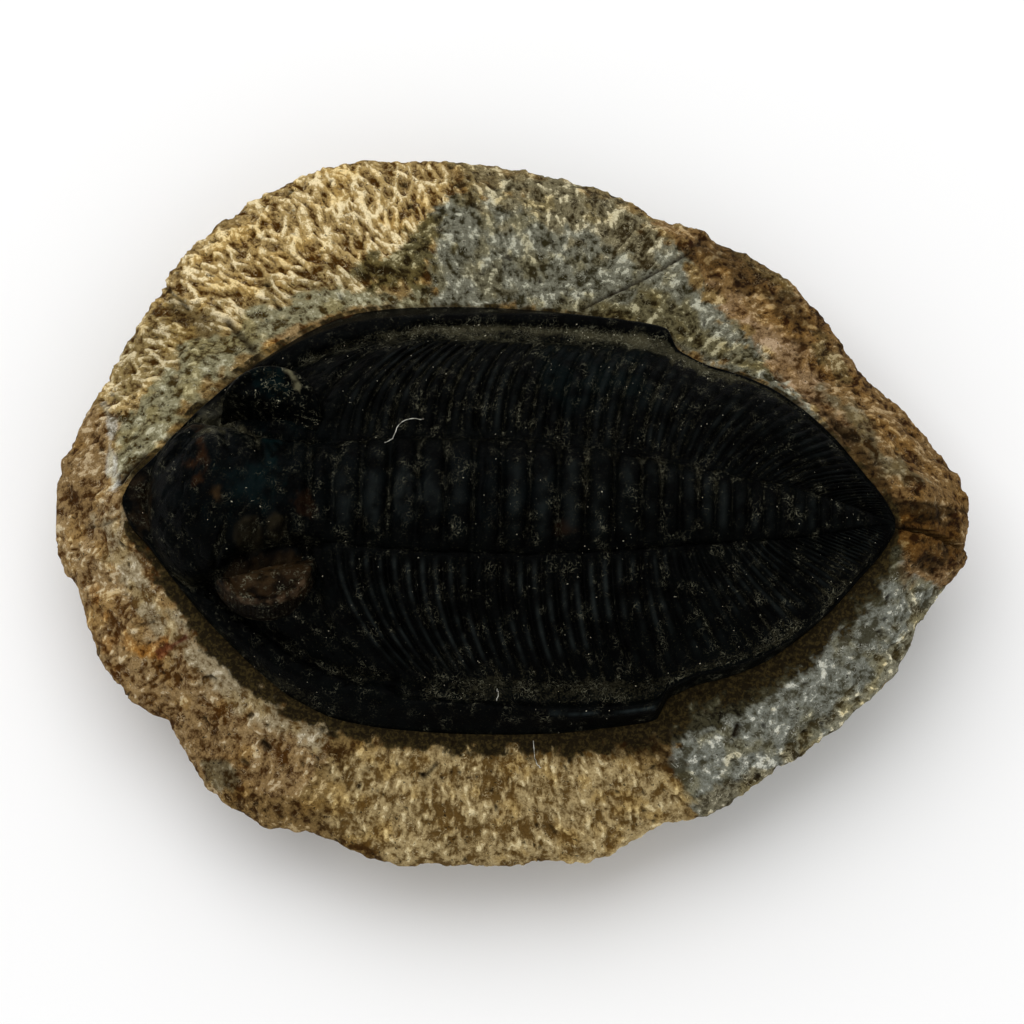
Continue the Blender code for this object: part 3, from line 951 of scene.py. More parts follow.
    def distance_to_rim(self, x: Array, y: Array) -> Array:
        """Measures how far places on the head are from the outline.

        Args:
            x, y: the places, in the fossil's own frame.

        Returns:
            The distances.
        """
        near = np.full(np.broadcast(x, y).shape, np.inf)
        for station in np.linspace(0, 45, self.rim_samples):
            width = float(curve_through(self.rim_half_width, station))
            near = np.minimum(near, np.hypot(x - station, np.abs(y) - width))
        return near

    def head_height(self, x: Array, y: Array, line: Array) -> Array:
        """Height of the head above the margin.

        Args:
            x, y: places in the fossil's own frame.
            line: the line that each lies on.

        Returns:
            The heights.
        """
        across = np.abs(y)
        inside = self.distance_to_rim(x, y)
        border = self.border_height * np.sin(np.clip(inside / self.border_width, 0, 1) * math.pi) ** 0.6
        border = border - self.border_height * bump(inside - self.border_width, 0.7)
        rise = 1 - (1 - np.clip((inside - self.border_width) / self.cheek_rise, 0, 1)) ** 1.9
        cheek = curve_through(self.cheek_height, x) * rise
        width = np.maximum(curve_through(self.glabella_half_width, x), 1e-3)
        share = np.clip(across / width, 0, 1)
        crest = curve_through(self.glabella_crest, x)
        swell = (crest - np.minimum(cheek, crest)) * (1 - share**2) ** 0.55
        dome = np.where((across < width) & (x > 2.8), swell, 0)
        for station, lean in self.side_furrows:
            cut = bump(x - station + lean * (share - 0.7), self.side_furrow_width)
            dome = dome - self.side_furrow_depth * cut * ease(0.3, 0.75, share) * (share < 1)
        groove = self.glabella_groove * bump(across - width, 0.5) * ease(3.5, 7, x)
        neck = self.neck_depth * bump(line - self.neck_line, self.neck_width)
        neck = neck * ease(self.border_width, 5, inside)
        return cheek + dome + border - groove - neck

    def ribbed_height(self, line: Array, share: Array, axis: Array) -> Array:
        """Height above the margin, behind the head.

        Args:
            line: the line of each point.
            share: 0 on the axis, 1 in its furrow, 2 at the body's side.
            axis: where the line crosses the axis.

        Returns:
            The heights.
        """
        crest, valley = curve_through(self.lobe_crest, axis), curve_through(self.lobe_furrow, axis)
        across = np.clip(share, 0, 1)
        flank = np.clip(share - 1, 0, 1)
        phase = line - np.floor(line)
        ring = 1 - np.clip(np.abs(2 * phase - 1) / (1 - 0.22 * across**2), 0, 1) ** 3
        round_top = np.sqrt(1 - across**2)
        lobe = valley + (crest - valley) * round_top**1.2
        lobe = lobe - curve_through(self.ring_depth, axis) * (1 - ring) * (0.35 + 0.65 * round_top)
        between = bump(np.minimum(phase, 1 - phase), self.rib_gap_width)
        along = self.rib_groove_share * bump(phase - 0.5, self.rib_groove_width)
        cut = curve_through(self.rib_depth, axis) * (between + along)
        cut = cut * (1 - ease(0.88, 1.0, flank)) * ease(0.0, 0.12, flank)
        return np.where(share <= 1, lobe, valley * (1 - flank**2.5) ** 0.8 + 0.1 - cut)

    def columns(self) -> tuple[Array, Array, Array]:
        """Lists the fine mesh's columns.

        Returns:
            The shares of the lobe, of the flank and of the rim at which they run.
        """
        lobe = np.sin(np.linspace(0, math.pi / 2, self.lobe_columns))
        flank = np.arange(1, self.flank_columns + 1) / self.flank_columns
        rim = np.arange(1, self.rim_columns + 1) / self.rim_columns
        return lobe[None, :], flank[None, :], rim[None, :]

    def half_grid(self, lines: Array) -> tuple[Array, Array]:
        """Shapes one half of the body, from the axis to the margin, and its wall down to the block.

        Args:
            lines: the lines to shape.

        Returns:
            The points, one row a line, in the fossil's own frame, and each point's share from 0 on the
            axis to 1 in the furrow, 2 at the body's side, 3 at the margin and 4 at the foot of the wall.
        """
        line = lines[:, None]
        axis = self.line_to_axis(line)
        station = curve_through(self.margin_station, axis)
        body = self.body_half_width(station)
        rim = curve_through(self.rim_half_width, station)
        lobe = np.minimum(curve_through(self.lobe_half_width, axis), 0.6 * body)
        on_lobe, on_flank, on_rim = self.columns()
        y = np.hstack([lobe * on_lobe, lobe + (body - lobe) * on_flank, body + (rim - body) * on_rim])
        swept = axis + (station - axis) * on_flank ** curve_through(self.sweep_power, axis)
        x = np.hstack([axis + 0 * on_lobe, swept, station + 0 * on_rim])
        share = np.hstack([on_lobe, 1 + on_flank, 2 + 0 * on_rim]) + 0 * line
        ribbed = self.ribbed_height(line + 0 * y, share, axis)
        tail_rim = 0.15 * (1 - on_rim)
        spine = curve_through(self.spine_profile, on_rim)
        ribbed[:, -self.rim_columns:] = np.where(station < self.spine_end, spine, tail_rim)
        blend = ease(0.94, 1.02, line)
        head = np.zeros_like(ribbed)
        in_head = lines < 1.02
        head[in_head] = self.head_height(x[in_head], y[in_head], (line + 0 * y)[in_head])
        height = head * (1 - blend) + ribbed * blend
        height[:, -1] = 0
        top = np.dstack([x, y, self.margin_height + height])
        down = np.arange(1, self.wall_columns + 1)[None, :] / self.wall_columns
        run = curve_through(self.wall_run, station)
        drop = self.margin_height - self.foot_height
        fall = self.margin_height - drop * down + 0 * line
        wall = np.dstack([station + 0 * down, rim + run * down, fall])
        share[:, -self.rim_columns:] += on_rim
        share = np.hstack([share, 3 + down + 0 * line])
        return np.concatenate([top, wall], axis=1), share

    def set_on_block(self, points: Array) -> Array:
        """Turns the fossil into its place on the block.

        Args:
            points: points in the fossil's own frame.

        Returns:
            The same points in the drawing frame.
        """
        x, y = points[..., 0], points[..., 1]
        c, s = math.cos(self.turn), math.sin(self.turn)
        placed = [self.nose[0] + c * x - s * y, self.nose[1] + s * x + c * y, points[..., 2]]
        return np.stack(placed, axis=-1)

    def foot(self) -> Array:
        """Outlines the foot of the wall.

        Returns:
            The outline's points, seen from above, in the drawing frame.
        """
        points, _ = self.half_grid(self.lines())
        edge = points[:, -1]
        return self.set_on_block(np.concatenate([edge, edge * (1, -1, 1)]))[:, :2]

    def shape(self) -> tuple[Array, Array, Array]:
        """Shapes the whole upper face.

        Returns:
            The points from foot to foot over the axis, one row a line, the share of each, which is
            below 0 on the fossil's right side, and the line of each.
        """
        lines = self.lines()
        half, share = self.half_grid(lines)
        points = np.concatenate([half[:, ::-1] * (1, -1, 1), half[:, 1:]], axis=1)
        share = np.concatenate([-share[:, ::-1], share[:, 1:]], axis=1)
        return points, share, lines[:, None] + 0 * share

    def roughen(self, points: Array, share: Array, line: Array) -> Array:
        """Gives the shell its uneven ribs, its break across the thorax and its fine grain.

        Args:
            points: the smooth upper face, in the fossil's own frame.
            share: the share of each point.
            line: the line of each point.

        Returns:
            The rough face.
        """
        far = np.abs(share)
        x, y = points[..., 0], points[..., 1]
        calm = (1 - 0.6 * ease(2.6, 3.0, far)) * (1 - ease(3.4, 4.0, far))
        broad = self.broad_swell.over(points)
        uneven = Grain(12).at(line * 1.3, y / 5, 3.0) * 0.4
        small = self.small_grain.over(points) * (0.2 + 0.1 * ease(1.0, 1.2, far))
        pimples = np.maximum(self.pimples.over(points) - 0.12, 0) * 0.3
        break_at = self.break_station - 2.0 * ease(2, 16, np.abs(y))
        gap = x - break_at - 0.5 * Grain(15).at(y / 2.5, 0 * y, 0.5)
        crack = -self.break_depth * bump(gap, 0.2) * (1 - ease(1.7, 2.0, far))
        on_head = (1 - ease(0.9, 1.0, line)) * ease(0.12, 0.3, line)
        crease = -self.crease_depth * bump(self.creases.over(points), 0.06)
        crease = crease * on_head * (1 - ease(2.5, 2.8, far))
        lift = (broad + uneven + small + pimples + crease) * calm + crack
        rough = points.copy()
        rough[..., 2] += lift
        return rough

    def dust_and_shade_on(self, points: Array, share: Array, across: Array, down: Array) -> Array:
        """Works out where dust lies: in the furrows, on the upper flank and round the spines, and takes it
        away as painted shade below the axis, on the lower flank and on the lower spine's wall.

        Args:
            points: the rough face.
            share: the share of each point.
            across, down: the pixels that show it.

        Returns:
            The dust, taken away where shade is painted, 0 to about 1.
        """
        height = points[..., 2]
        hollow = np.clip((smoothed(height, self.dust_hollow_rounds) - height) * 1.1, -0.4, 0.3)
        pull = self.dust_pull.over(points)
        dust = hollow + self.dust_cloud.over(points) * 0.6 - 0.08
        # The first zones add dust; the second take it away as painted shade.
        for sign, zones in ((1, DUSTY), (-1, PAINTED_SHADE_ZONES)):
            for zone in zones:
                dust = dust + sign * zone.cover(across, down, pull)
        dust = dust - 0.25 * ease(3.0, 3.4, np.abs(share))
        return np.clip(dust, 0, 1.2)

    def colour_of(self, points: Array, across: Array, down: Array) -> Array:
        """Colours the shell: stains, painted shade, painted highlights and the bosses' painted sheen.

        Args:
            points: the rough face.
            across, down: the pixels that show it.

        Returns:
            A linear colour for each point.
        """
        pull = self.colour_zone_pull.over(points)
        swells = (*((boss, BOSS_TINT_AND_SHEEN) for boss in BOSSES), *((lobe, LOBE_COLOUR) for lobe in SIDE_LOBES))
        bare = np.zeros(points.shape) + SHELL_BLACK
        colour = zones_laid_on(bare, (*SHELL_STAINS_AND_PAINTED_LIGHT, *swells), across, down, pull)
        # Painted highlight: a pale ring round each boss.
        for boss in BOSSES:
            edge = 0.4 * bump(boss.cover(across, down, pull) - 0.4, 0.2)[..., None]
            colour = colour * (1 - edge) + np.array(BOSS_RING_HIGHLIGHT) * edge
        return colour

    def rib_crest_highlights(self, points: Array, share: Array, line: Array) -> Array:
        """Tells where a painted highlight lies along the tops of the axis rings and the crests of the side
        ribs.

        Args:
            points: the rough face.
            share: the share of each point.
            line: the line of each point.

        Returns:
            The painted highlight, 0 to 1.
        """
        far = np.abs(share)
        phase = np.abs(line - np.floor(line) - 0.5)
        crest = bump(phase - 0.24, 0.07) * ease(1.03, 1.15, far) * (1 - ease(1.75, 1.95, far))
        ring = bump(phase, 0.2) * (1 - ease(0.55, 0.85, far))
        patchy = ease(-0.3, 0.35, self.crest_highlight_patches.over(points))
        return (crest * np.where(share < 0, 0.95, 0.55) + 0.55 * ring) * patchy * (line > 1.1)

    def build(self) -> bpy.types.Object:
        """Makes the body's piece.

        Returns:
            The piece, which stands for the solid of the fossil.
        """
        points, share, line = self.shape()
        points = self.set_on_block(self.roughen(points, share, line))
        across, down = self.view.pixels_of(points)
        bosses = sum(boss.cover(across, down, 0 * across) for boss in BOSSES)
        lobes = sum(lobe.cover(across, down, 0 * across) for lobe in SIDE_LOBES)
        points[..., 2] += self.boss_height * bosses + self.side_lobe_height * lobes
        points = kept_in("trilobite", points)
        self.surface = points.reshape(-1, 3)
        mesh = closed_mesh("trilobite_shell", points)
        dust = self.dust_and_shade_on(points, share, across, down) * (1 - 0.8 * bosses)
        cloud = ease(-0.3, 0.4, self.black_cloud.over(points))
        lint = ease(-0.05, 0.6, self.lint_patches.over(points) + dust * 0.8 - 0.1)
        # Painted highlights along the ring tops and rib crests, stronger on the viewer's side.
        crest_highlight = self.rib_crest_highlights(points, share, line)[..., None]
        colour = self.colour_of(points, across, down) * (1 - crest_highlight) + np.array(RIB_CREST_HIGHLIGHT) * crest_highlight
        carry(mesh, dust=dust, cloud=cloud, lint_share=lint, shell_colour=colour)
        piece = add_piece("trilobite_shell", mesh, self.finish)
        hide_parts("trilobite")
        return piece


SHELL_BLACK: Colour = ink(2, 3, 3)
# Pale painted highlight for the tops of the axis rings and the crests of the side ribs.
RIB_CREST_HIGHLIGHT: Colour = ink(26, 30, 29)
LOBE_COLOUR: Colour = ink(27, 23, 14)
TEAL: Colour = ink(4, 17, 18)
# Near-black painted shade, laid where the shell and the eyes lie in shadow.
PAINTED_SHADE_BLACK: Colour = ink(1, 1, 1)
DEEP_BLUE: Colour = ink(4, 8, 10)
BROWN_SHELL: Colour = ink(34, 24, 12)
RUST_SHELL: Colour = ink(50, 29, 11)
SHELL_STAINS_AND_PAINTED_LIGHT: ColourZones = (
    (Zone(((150, 440), (230, 400), (330, 430), (330, 520), (220, 525), (150, 500)), 40, 24, 0.35),
     DEEP_BLUE),
    (Zone(((216, 466), (272, 462), (274, 500), (218, 504)), 18, 26, 0.6), TEAL),
    (Zone(((261, 434), (277, 438), (273, 480), (261, 478)), 9, 10, 0.8), TEAL),
    (Zone(((270, 404), (310, 408), (314, 430), (276, 422)), 12, 14, 0.6), TEAL),
    (Zone(((330, 455), (470, 455), (560, 470), (560, 520), (330, 525)), 20, 10, 0.35), DEEP_BLUE),
    (Zone(((200, 408), (214, 402), (234, 408), (232, 424), (214, 434), (198, 430)), 12, 20, 0.6),
     ink(62, 61, 52)),
    (Zone(((540, 350), (640, 352), (650, 400), (545, 410)), 24, 10, 0.3), TEAL),
    (Zone(((122, 478), (140, 470), (150, 485), (150, 520), (138, 540)), 10, 16, 0.65), BROWN_SHELL),
    (Zone(((196, 428), (202, 426), (205, 450), (203, 480), (197, 484), (194, 462)), 8, 18, 0.6),
     RUST_SHELL),
    (Zone(((210, 492), (218, 488), (224, 494), (220, 502), (212, 502)), 7, 12, 0.7), ink(66, 48, 26)),
    (Zone(((228, 396), (234, 392), (238, 404), (235, 417), (229, 411)), 4, 7, 0.9), ink(84, 40, 17)),
    (Zone(((292, 500), (306, 492), (314, 500), (312, 516), (300, 512)), 8, 14, 0.3), RUST_SHELL),
    (Zone(((242, 376), (256, 368), (260, 374), (244, 386)), 6, 7, 0.7), ink(74, 46, 24)),
    (Zone(((262, 340), (300, 322), (345, 309), (352, 313), (305, 328), (268, 345)), 5, 4, 0.9),
     ink(112, 66, 28)),
    (Zone(((550, 524), (566, 520), (574, 530), (560, 538), (552, 534)), 6, 8, 0.2), RUST_SHELL),
    # Painted shade in the pit beside the upper eye.
    (Zone(((300, 372), (312, 374), (320, 388), (316, 404), (304, 402), (302, 388)), 6, 5, 0.9), PAINTED_SHADE_BLACK),
    (Zone(((222, 580), (236, 562), (262, 556), (290, 552), (306, 562), (300, 590), (224, 600)), 8, 8, 0.75),
     BROWN_SHELL),
    # Painted shade over the lower flank, below the axis.
    (Zone(((400, 560), (690, 556), (700, 640), (560, 670), (400, 640)), 40, 20, 0.5), PAINTED_SHADE_BLACK),
    # Painted shade on the lower spine's wall, which faces away from the light.
    (Zone(((430, 705), (560, 712), (668, 706), (660, 722), (560, 728), (430, 722)), 6, 3, 0.7), PAINTED_SHADE_BLACK),
    # Painted highlight along the top edge of the lower spine.
    (Zone(((548, 712), (610, 713), (654, 707), (655, 709), (610, 715), (548, 714)), 2.5, 2, 0.6),
     ink(42, 49, 50)),
    # Painted shade: a dark line along the upper spine's edge.
    (Zone(((384, 316), (470, 308), (560, 313), (640, 325), (639, 328), (560, 317), (470, 312), (384, 320)),
          3, 2, 0.8), PAINTED_SHADE_BLACK),
)
BOSSES: tuple[Zone, ...] = (
    Zone(((334, 474), (340, 468), (347, 474), (349, 496), (346, 518), (339, 522), (334, 510)), 5, 1),
    Zone(((362, 476), (369, 470), (376, 478), (377, 496), (373, 512), (366, 515), (362, 500)), 5, 1),
    Zone(((394, 490), (400, 477), (410, 474), (419, 482), (421, 500), (416, 516), (406, 521),
          (396, 510)), 6, 2),
    Zone(((425, 484), (433, 474), (443, 477), (448, 492), (444, 508), (434, 513), (426, 502)), 6, 2),
)
# The bosses' grey-blue is their tint with a painted sheen, and the ring round each is a painted highlight.
BOSS_TINT_AND_SHEEN: Colour = ink(11, 14, 14)
BOSS_RING_HIGHLIGHT: Colour = ink(38, 41, 38)
SIDE_LOBES: tuple[Zone, ...] = (
    Zone(((236, 526), (244, 517), (256, 517), (263, 528), (262, 546), (252, 556), (240, 552),
          (235, 540)), 8, 2),
    Zone(((267, 520), (275, 513), (284, 518), (286, 532), (278, 543), (269, 538)), 7, 2),
)
DUSTY: tuple[Zone, ...] = (
    Zone(((330, 318), (480, 312), (640, 332), (760, 372), (720, 392), (600, 352), (470, 346), (350, 350)),
         26, 16, 0.22),
    Zone(((330, 330), (480, 340), (700, 380), (720, 440), (480, 430), (330, 430)), 40, 24, 0.14),
    Zone(((372, 315), (470, 311), (560, 314), (645, 328), (650, 344), (560, 336), (470, 331), (366, 338)),
         6, 6, 0.42),
    Zone(((195, 400), (235, 392), (240, 430), (198, 436)), 14, 16, 0.65),
    Zone(((236, 420), (262, 418), (264, 446), (238, 448)), 12, 12, 0.3),
    Zone(((240, 360), (330, 330), (340, 350), (250, 385)), 14, 12, 0.3),
    Zone(((130, 540), (175, 560), (240, 640), (330, 700), (320, 725), (230, 690), (160, 620)), 18, 12, 0.35),
    Zone(((400, 640), (600, 668), (690, 655), (690, 712), (560, 706), (430, 700)), 18, 14, 0.22),
    Zone(((820, 560), (890, 520), (880, 560), (760, 660), (700, 690), (690, 670)), 20, 14, 0.3),
    Zone(((560, 440), (860, 480), (860, 520), (560, 500)), 30, 16, 0.16),
    Zone(((636, 324), (676, 338), (706, 352), (762, 372), (806, 396), (790, 402), (740, 386), (690, 370),
          (656, 358), (636, 344)), 12, 16, 0.38),
)
# Zones where dust is taken away so that the black shell shows: painted shade below the axis, on the lower
# flank and on the lower spine's wall.
PAINTED_SHADE_ZONES: tuple[Zone, ...] = (
    Zone(((325, 530), (560, 536), (760, 532), (893, 520), (890, 532), (760, 554), (560, 564), (330, 560)),
         16, 12, 0.7),
    Zone(((330, 560), (560, 566), (700, 560), (690, 640), (560, 655), (360, 640)), 30, 16, 0.16),
    Zone(((430, 704), (560, 712), (668, 706), (664, 724), (560, 732), (430, 724)), 6, 4, 0.5),
    Zone(((392, 560), (470, 600), (470, 690), (400, 690), (340, 640), (340, 580)), 30, 16, 0.14),
)


@dataclass
class CompoundEye:
    """One eye: a half disc on the cheek, with a raised rim and a steep face of lenses."""

    body: Trilobite
    name: str
    side: int
    station: float = 16.75
    offset: float = 8.3
    half_length: float = 5.6
    turn: float = math.radians(9.5)
    foot: float = 3.2
    end_drop: float = 2.4
    section: Knots = (
        (0.0, 7.3), (0.35, 7.9), (0.62, 8.6), (0.76, 8.5), (0.86, 9.0), (0.94, 9.3), (1.0, 9.1), (1.03, 8.5),
    )
    face: Knots = ((0.0, 1.03), (0.25, 1.045), (0.6, 1.06), (1.0, 1.09))
    files: int = 34
    rows: int = 8
    lens_height: float = 0.13
    bury: float = 0.25
    spokes: int = 240
    lobe_rings: int = 56
    face_rings: int = 60
    wear_seed: int = 41
    swell: Waves = Waves(43, 3.4, 1, 0.5)
    dust_patches: Waves = Waves(44, 2.0, 3, 0.6)
    colour_zone_pull: Waves = Waves(45, 1.2, 4)
    black_cloud: Waves = Waves(46, 1.4, 3)
    lint_patches: Waves = Waves(47, 0.8, 2)

    def shape(self) -> tuple[Array, Array]:
        """Shapes the eye.

        Returns:
            The points, one row a spoke from the middle out and down, in the fossil's own frame, and how
            far each is down the face of lenses, which is 0 on the lobe.
        """
        angle = math.pi * np.arange(self.spokes + 1)[:, None] / self.spokes
        out = np.arange(1, self.lobe_rings + 1)[None, :] / self.lobe_rings * 1.03
        drop = self.end_drop * (1 - np.sin(angle)) ** 3
        top = curve_through(self.section, out) - drop * np.minimum(out, 1)
        down = np.arange(1, self.face_rings + 1)[None, :] / self.face_rings
        edge = top[:, -1:]
        face = edge + (self.foot - edge) * down
        share = np.hstack([out + 0 * angle, curve_through(self.face, down) + 0 * angle])
        height = np.hstack([top, face])
        lens = self.lenses(angle, down)
        share[:, self.lobe_rings:] += lens * self.lens_height / self.half_length
        reach = self.half_length * share
        along, outwards = -reach * np.cos(angle), reach * np.sin(angle)
        c, s = math.cos(-self.turn), math.sin(-self.turn)
        x = self.station + c * along - s * outwards
        y = self.offset + s * along + c * outwards
        cheek = self.body.head_height(x, y, 0.5 + 0 * x) - self.bury
        free = ease(0.0, 0.34, share * np.sin(angle))
        height = cheek * (1 - free) + np.maximum(height, self.foot) * free
        points = np.dstack([x, self.side * y, self.body.margin_height + height])
        return points, np.hstack([0 * out, down]) + 0 * angle

    def lenses(self, angle: Array, down: Array) -> Array:
        """Sets the lenses in offset files down the face.

        Args:
            angle: the direction of each spoke.
            down: the share of the way down the face.

        Returns:
            The height of the lenses' domes, 0 to 1.
        """
        file = angle / math.pi * self.files
        row = down / 0.78 * self.rows + 0.5 * (np.floor(file) % 2)
        across = (file - np.floor(file) - 0.5) * 2
        upright = (row - np.floor(row) - 0.5) * 2
        dome = np.sqrt(np.clip(1 - (across**2 + upright**2) / 0.8, 0, 1))
        return dome * ease(0.03, 0.08, down) * (1 - ease(0.74, 0.8, down))

    def build(self) -> bpy.types.Object:
        """Makes the eye's piece.

        Returns:
            The piece, closed by a flat face on the side of the axis.
        """
        points, down = self.shape()
        middle = np.array((self.station, self.side * self.offset, points[:, 0, 2].mean()))
        top = np.repeat(middle[None, None, :], len(points), axis=0)
        bottom = top.copy()
        bottom[..., 2] = self.body.margin_height + self.foot
        points = np.concatenate([top, points, bottom], axis=1)
        wear = Waves(self.wear_seed + self.side, 1.3, 3, 0.2).over(points) + self.swell.over(points)
        points[:, 1:-1, 2] += wear[:, 1:-1]
        placed = kept_in("trilobite", self.body.set_on_block(points))
        across, far_down = self.body.view.pixels_of(placed)
        mesh = closed_mesh(self.name, placed)
        on_face = np.pad(down, ((0, 0), (1, 1)))
        # Less dust on the face of lenses, so that it stays dark as painted shade.
        dust = np.clip(0.1 + self.dust_patches.over(points) - 0.3 * (on_face > 0), 0, 1)
        cloud = ease(-0.2, 0.5, self.black_cloud.over(points))
        lint = ease(0.0, 0.3, self.lint_patches.over(points))
        colour = self.colour_of(points, across, far_down)
        carry(mesh, dust=dust, cloud=cloud, lint_share=lint, shell_colour=colour)
        return add_piece(self.name, mesh, self.body.finish)

    def colour_of(self, points: Array, across: Array, down: Array) -> Array:
        """Colours the eye: stains, painted shade and painted highlights.

        Args:
            points: its points.
            across, down: the pixels that show them.

        Returns:
            A linear colour for each point.
        """
        bare = np.zeros(points.shape) + SHELL_BLACK
        return zones_laid_on(bare, EYE_STAINS_AND_PAINTED_LIGHT, across, down, self.colour_zone_pull.over(points))


EYE_STAINS_AND_PAINTED_LIGHT: ColourZones = (
    (Zone(((218, 562), (262, 554), (310, 560), (308, 598), (262, 606), (222, 600)), 10, 10, 0.9),
     ink(36, 25, 13)),
    (Zone(((236, 566), (262, 560), (284, 572), (268, 588), (242, 586)), 12, 16, 0.6), ink(48, 36, 21)),
    # Painted shade on the lower eye's face of lenses, which faces away from the light.
    (Zone(((222, 602), (262, 609), (312, 592), (312, 622), (262, 634), (218, 622)), 6, 6, 0.95),
     ink(11, 7, 4)),
    # Painted shade in the groove inside the lower eye's rim.
    (Zone(((234, 589), (246, 595), (262, 596), (278, 593), (278, 598), (262, 601), (244, 600)), 3, 5, 0.8),
     PAINTED_SHADE_BLACK),
    # The lower eye's rim: its pinkish colour with a painted highlight.
    (Zone(((229, 589), (243, 598), (260, 601), (276, 599), (292, 591), (304, 580), (307, 584), (295, 596),
           (277, 602), (258, 604), (240, 600)), 3, 6, 0.65), ink(72, 57, 42)),
    # Painted highlight on the upper eye's rim.
    (Zone(((284, 370), (289, 369), (296, 376), (301, 386), (300, 394), (296, 390), (291, 380)), 3, 3, 0.9),
     ink(98, 94, 72)),
    (Zone(((252, 372), (282, 366), (288, 392), (262, 398)), 8, 10, 0.6), TEAL),
)


@dataclass(frozen=True)
class ChiselStrokes:
    """The chisel's raised strokes, drawn one by one on a sheet that is folded over the block.

    On the viewer's side the strokes keep the shares near_length and near_width of their size.
    """

    seed: int = 58
    cell: float = 0.12
    half_side: float = 76.0
    count: int = 11500
    shortest: float = 0.5
    longest: float = 2.0
    half_width: float = 0.36
    stray: float = 0.42
    bend: float = 0.12
    near_length: float = 0.3
    near_width: float = 0.8
    width_spread: tuple[float, float] = (0.65, 1.3)
    height_spread: tuple[float, float] = (0.55, 1.0)
    margin: float = 1.0

    def sheet(self) -> Array:
        """Draws the strokes.

        Returns:
            The sheet, 1 at most on the back of a stroke and 0 beside it.
        """
        draw = np.random.default_rng(self.seed)
        side = int(2 * self.half_side / self.cell)
        sheet = np.zeros((side, side))
        axis = np.arange(side) * self.cell - self.half_side
        for _ in range(self.count):
            x, y = draw.uniform(-self.half_side, self.half_side, 2)
            heading = math.atan2(y, x) + draw.normal(0, self.stray)
            far_side = float(ease(-0.45, 0.35, math.sin(math.atan2(y, x))))
            length_share = self.near_length + (1 - self.near_length) * far_side
            width_share = self.near_width + (1 - self.near_width) * far_side
            half_length = draw.uniform(self.shortest, self.longest) * length_share
            half_width = self.half_width * draw.uniform(*self.width_spread) * width_share
            bend, height = draw.normal(0, self.bend), draw.uniform(*self.height_spread)
            reach = half_length + self.margin
            left, right, low, high = np.searchsorted(axis, (x - reach, x + reach, y - reach, y + reach))
            across, up = axis[None, left:right] - x, axis[low:high, None] - y
            along = across * math.cos(heading) + up * math.sin(heading)
            beside = up * math.cos(heading) - across * math.sin(heading) - bend * along**2
            away = np.hypot(np.maximum(np.abs(along) - half_length, 0), beside) / half_width
            window = sheet[low:high, left:right]
            np.maximum(window, height * ease(1.0, 0.35, away), out=window)
        return sheet

    def over(self, turn: Array, reach: Array) -> Array:
        """Reads the strokes.

        Args:
            turn: the direction of each point from the block's middle.
            reach: how far each is from the middle, measured over the surface.

        Returns:
            The strokes' height, 0 to 1, at each point.
        """
        sheet = self.sheet()
        column = (reach * np.cos(turn) + self.half_side) / self.cell
        row = (reach * np.sin(turn) + self.half_side) / self.cell
        left = np.clip(column.astype(int), 0, len(sheet) - 2)
        low = np.clip(row.astype(int), 0, len(sheet) - 2)
        right_share, up_share = np.clip(column - left, 0, 1), np.clip(row - low, 0, 1)
        below = sheet[low, left] * (1 - right_share) + sheet[low, left + 1] * right_share
        above = sheet[low + 1, left] * (1 - right_share) + sheet[low + 1, left + 1] * right_share
        return below * (1 - up_share) + above * up_share


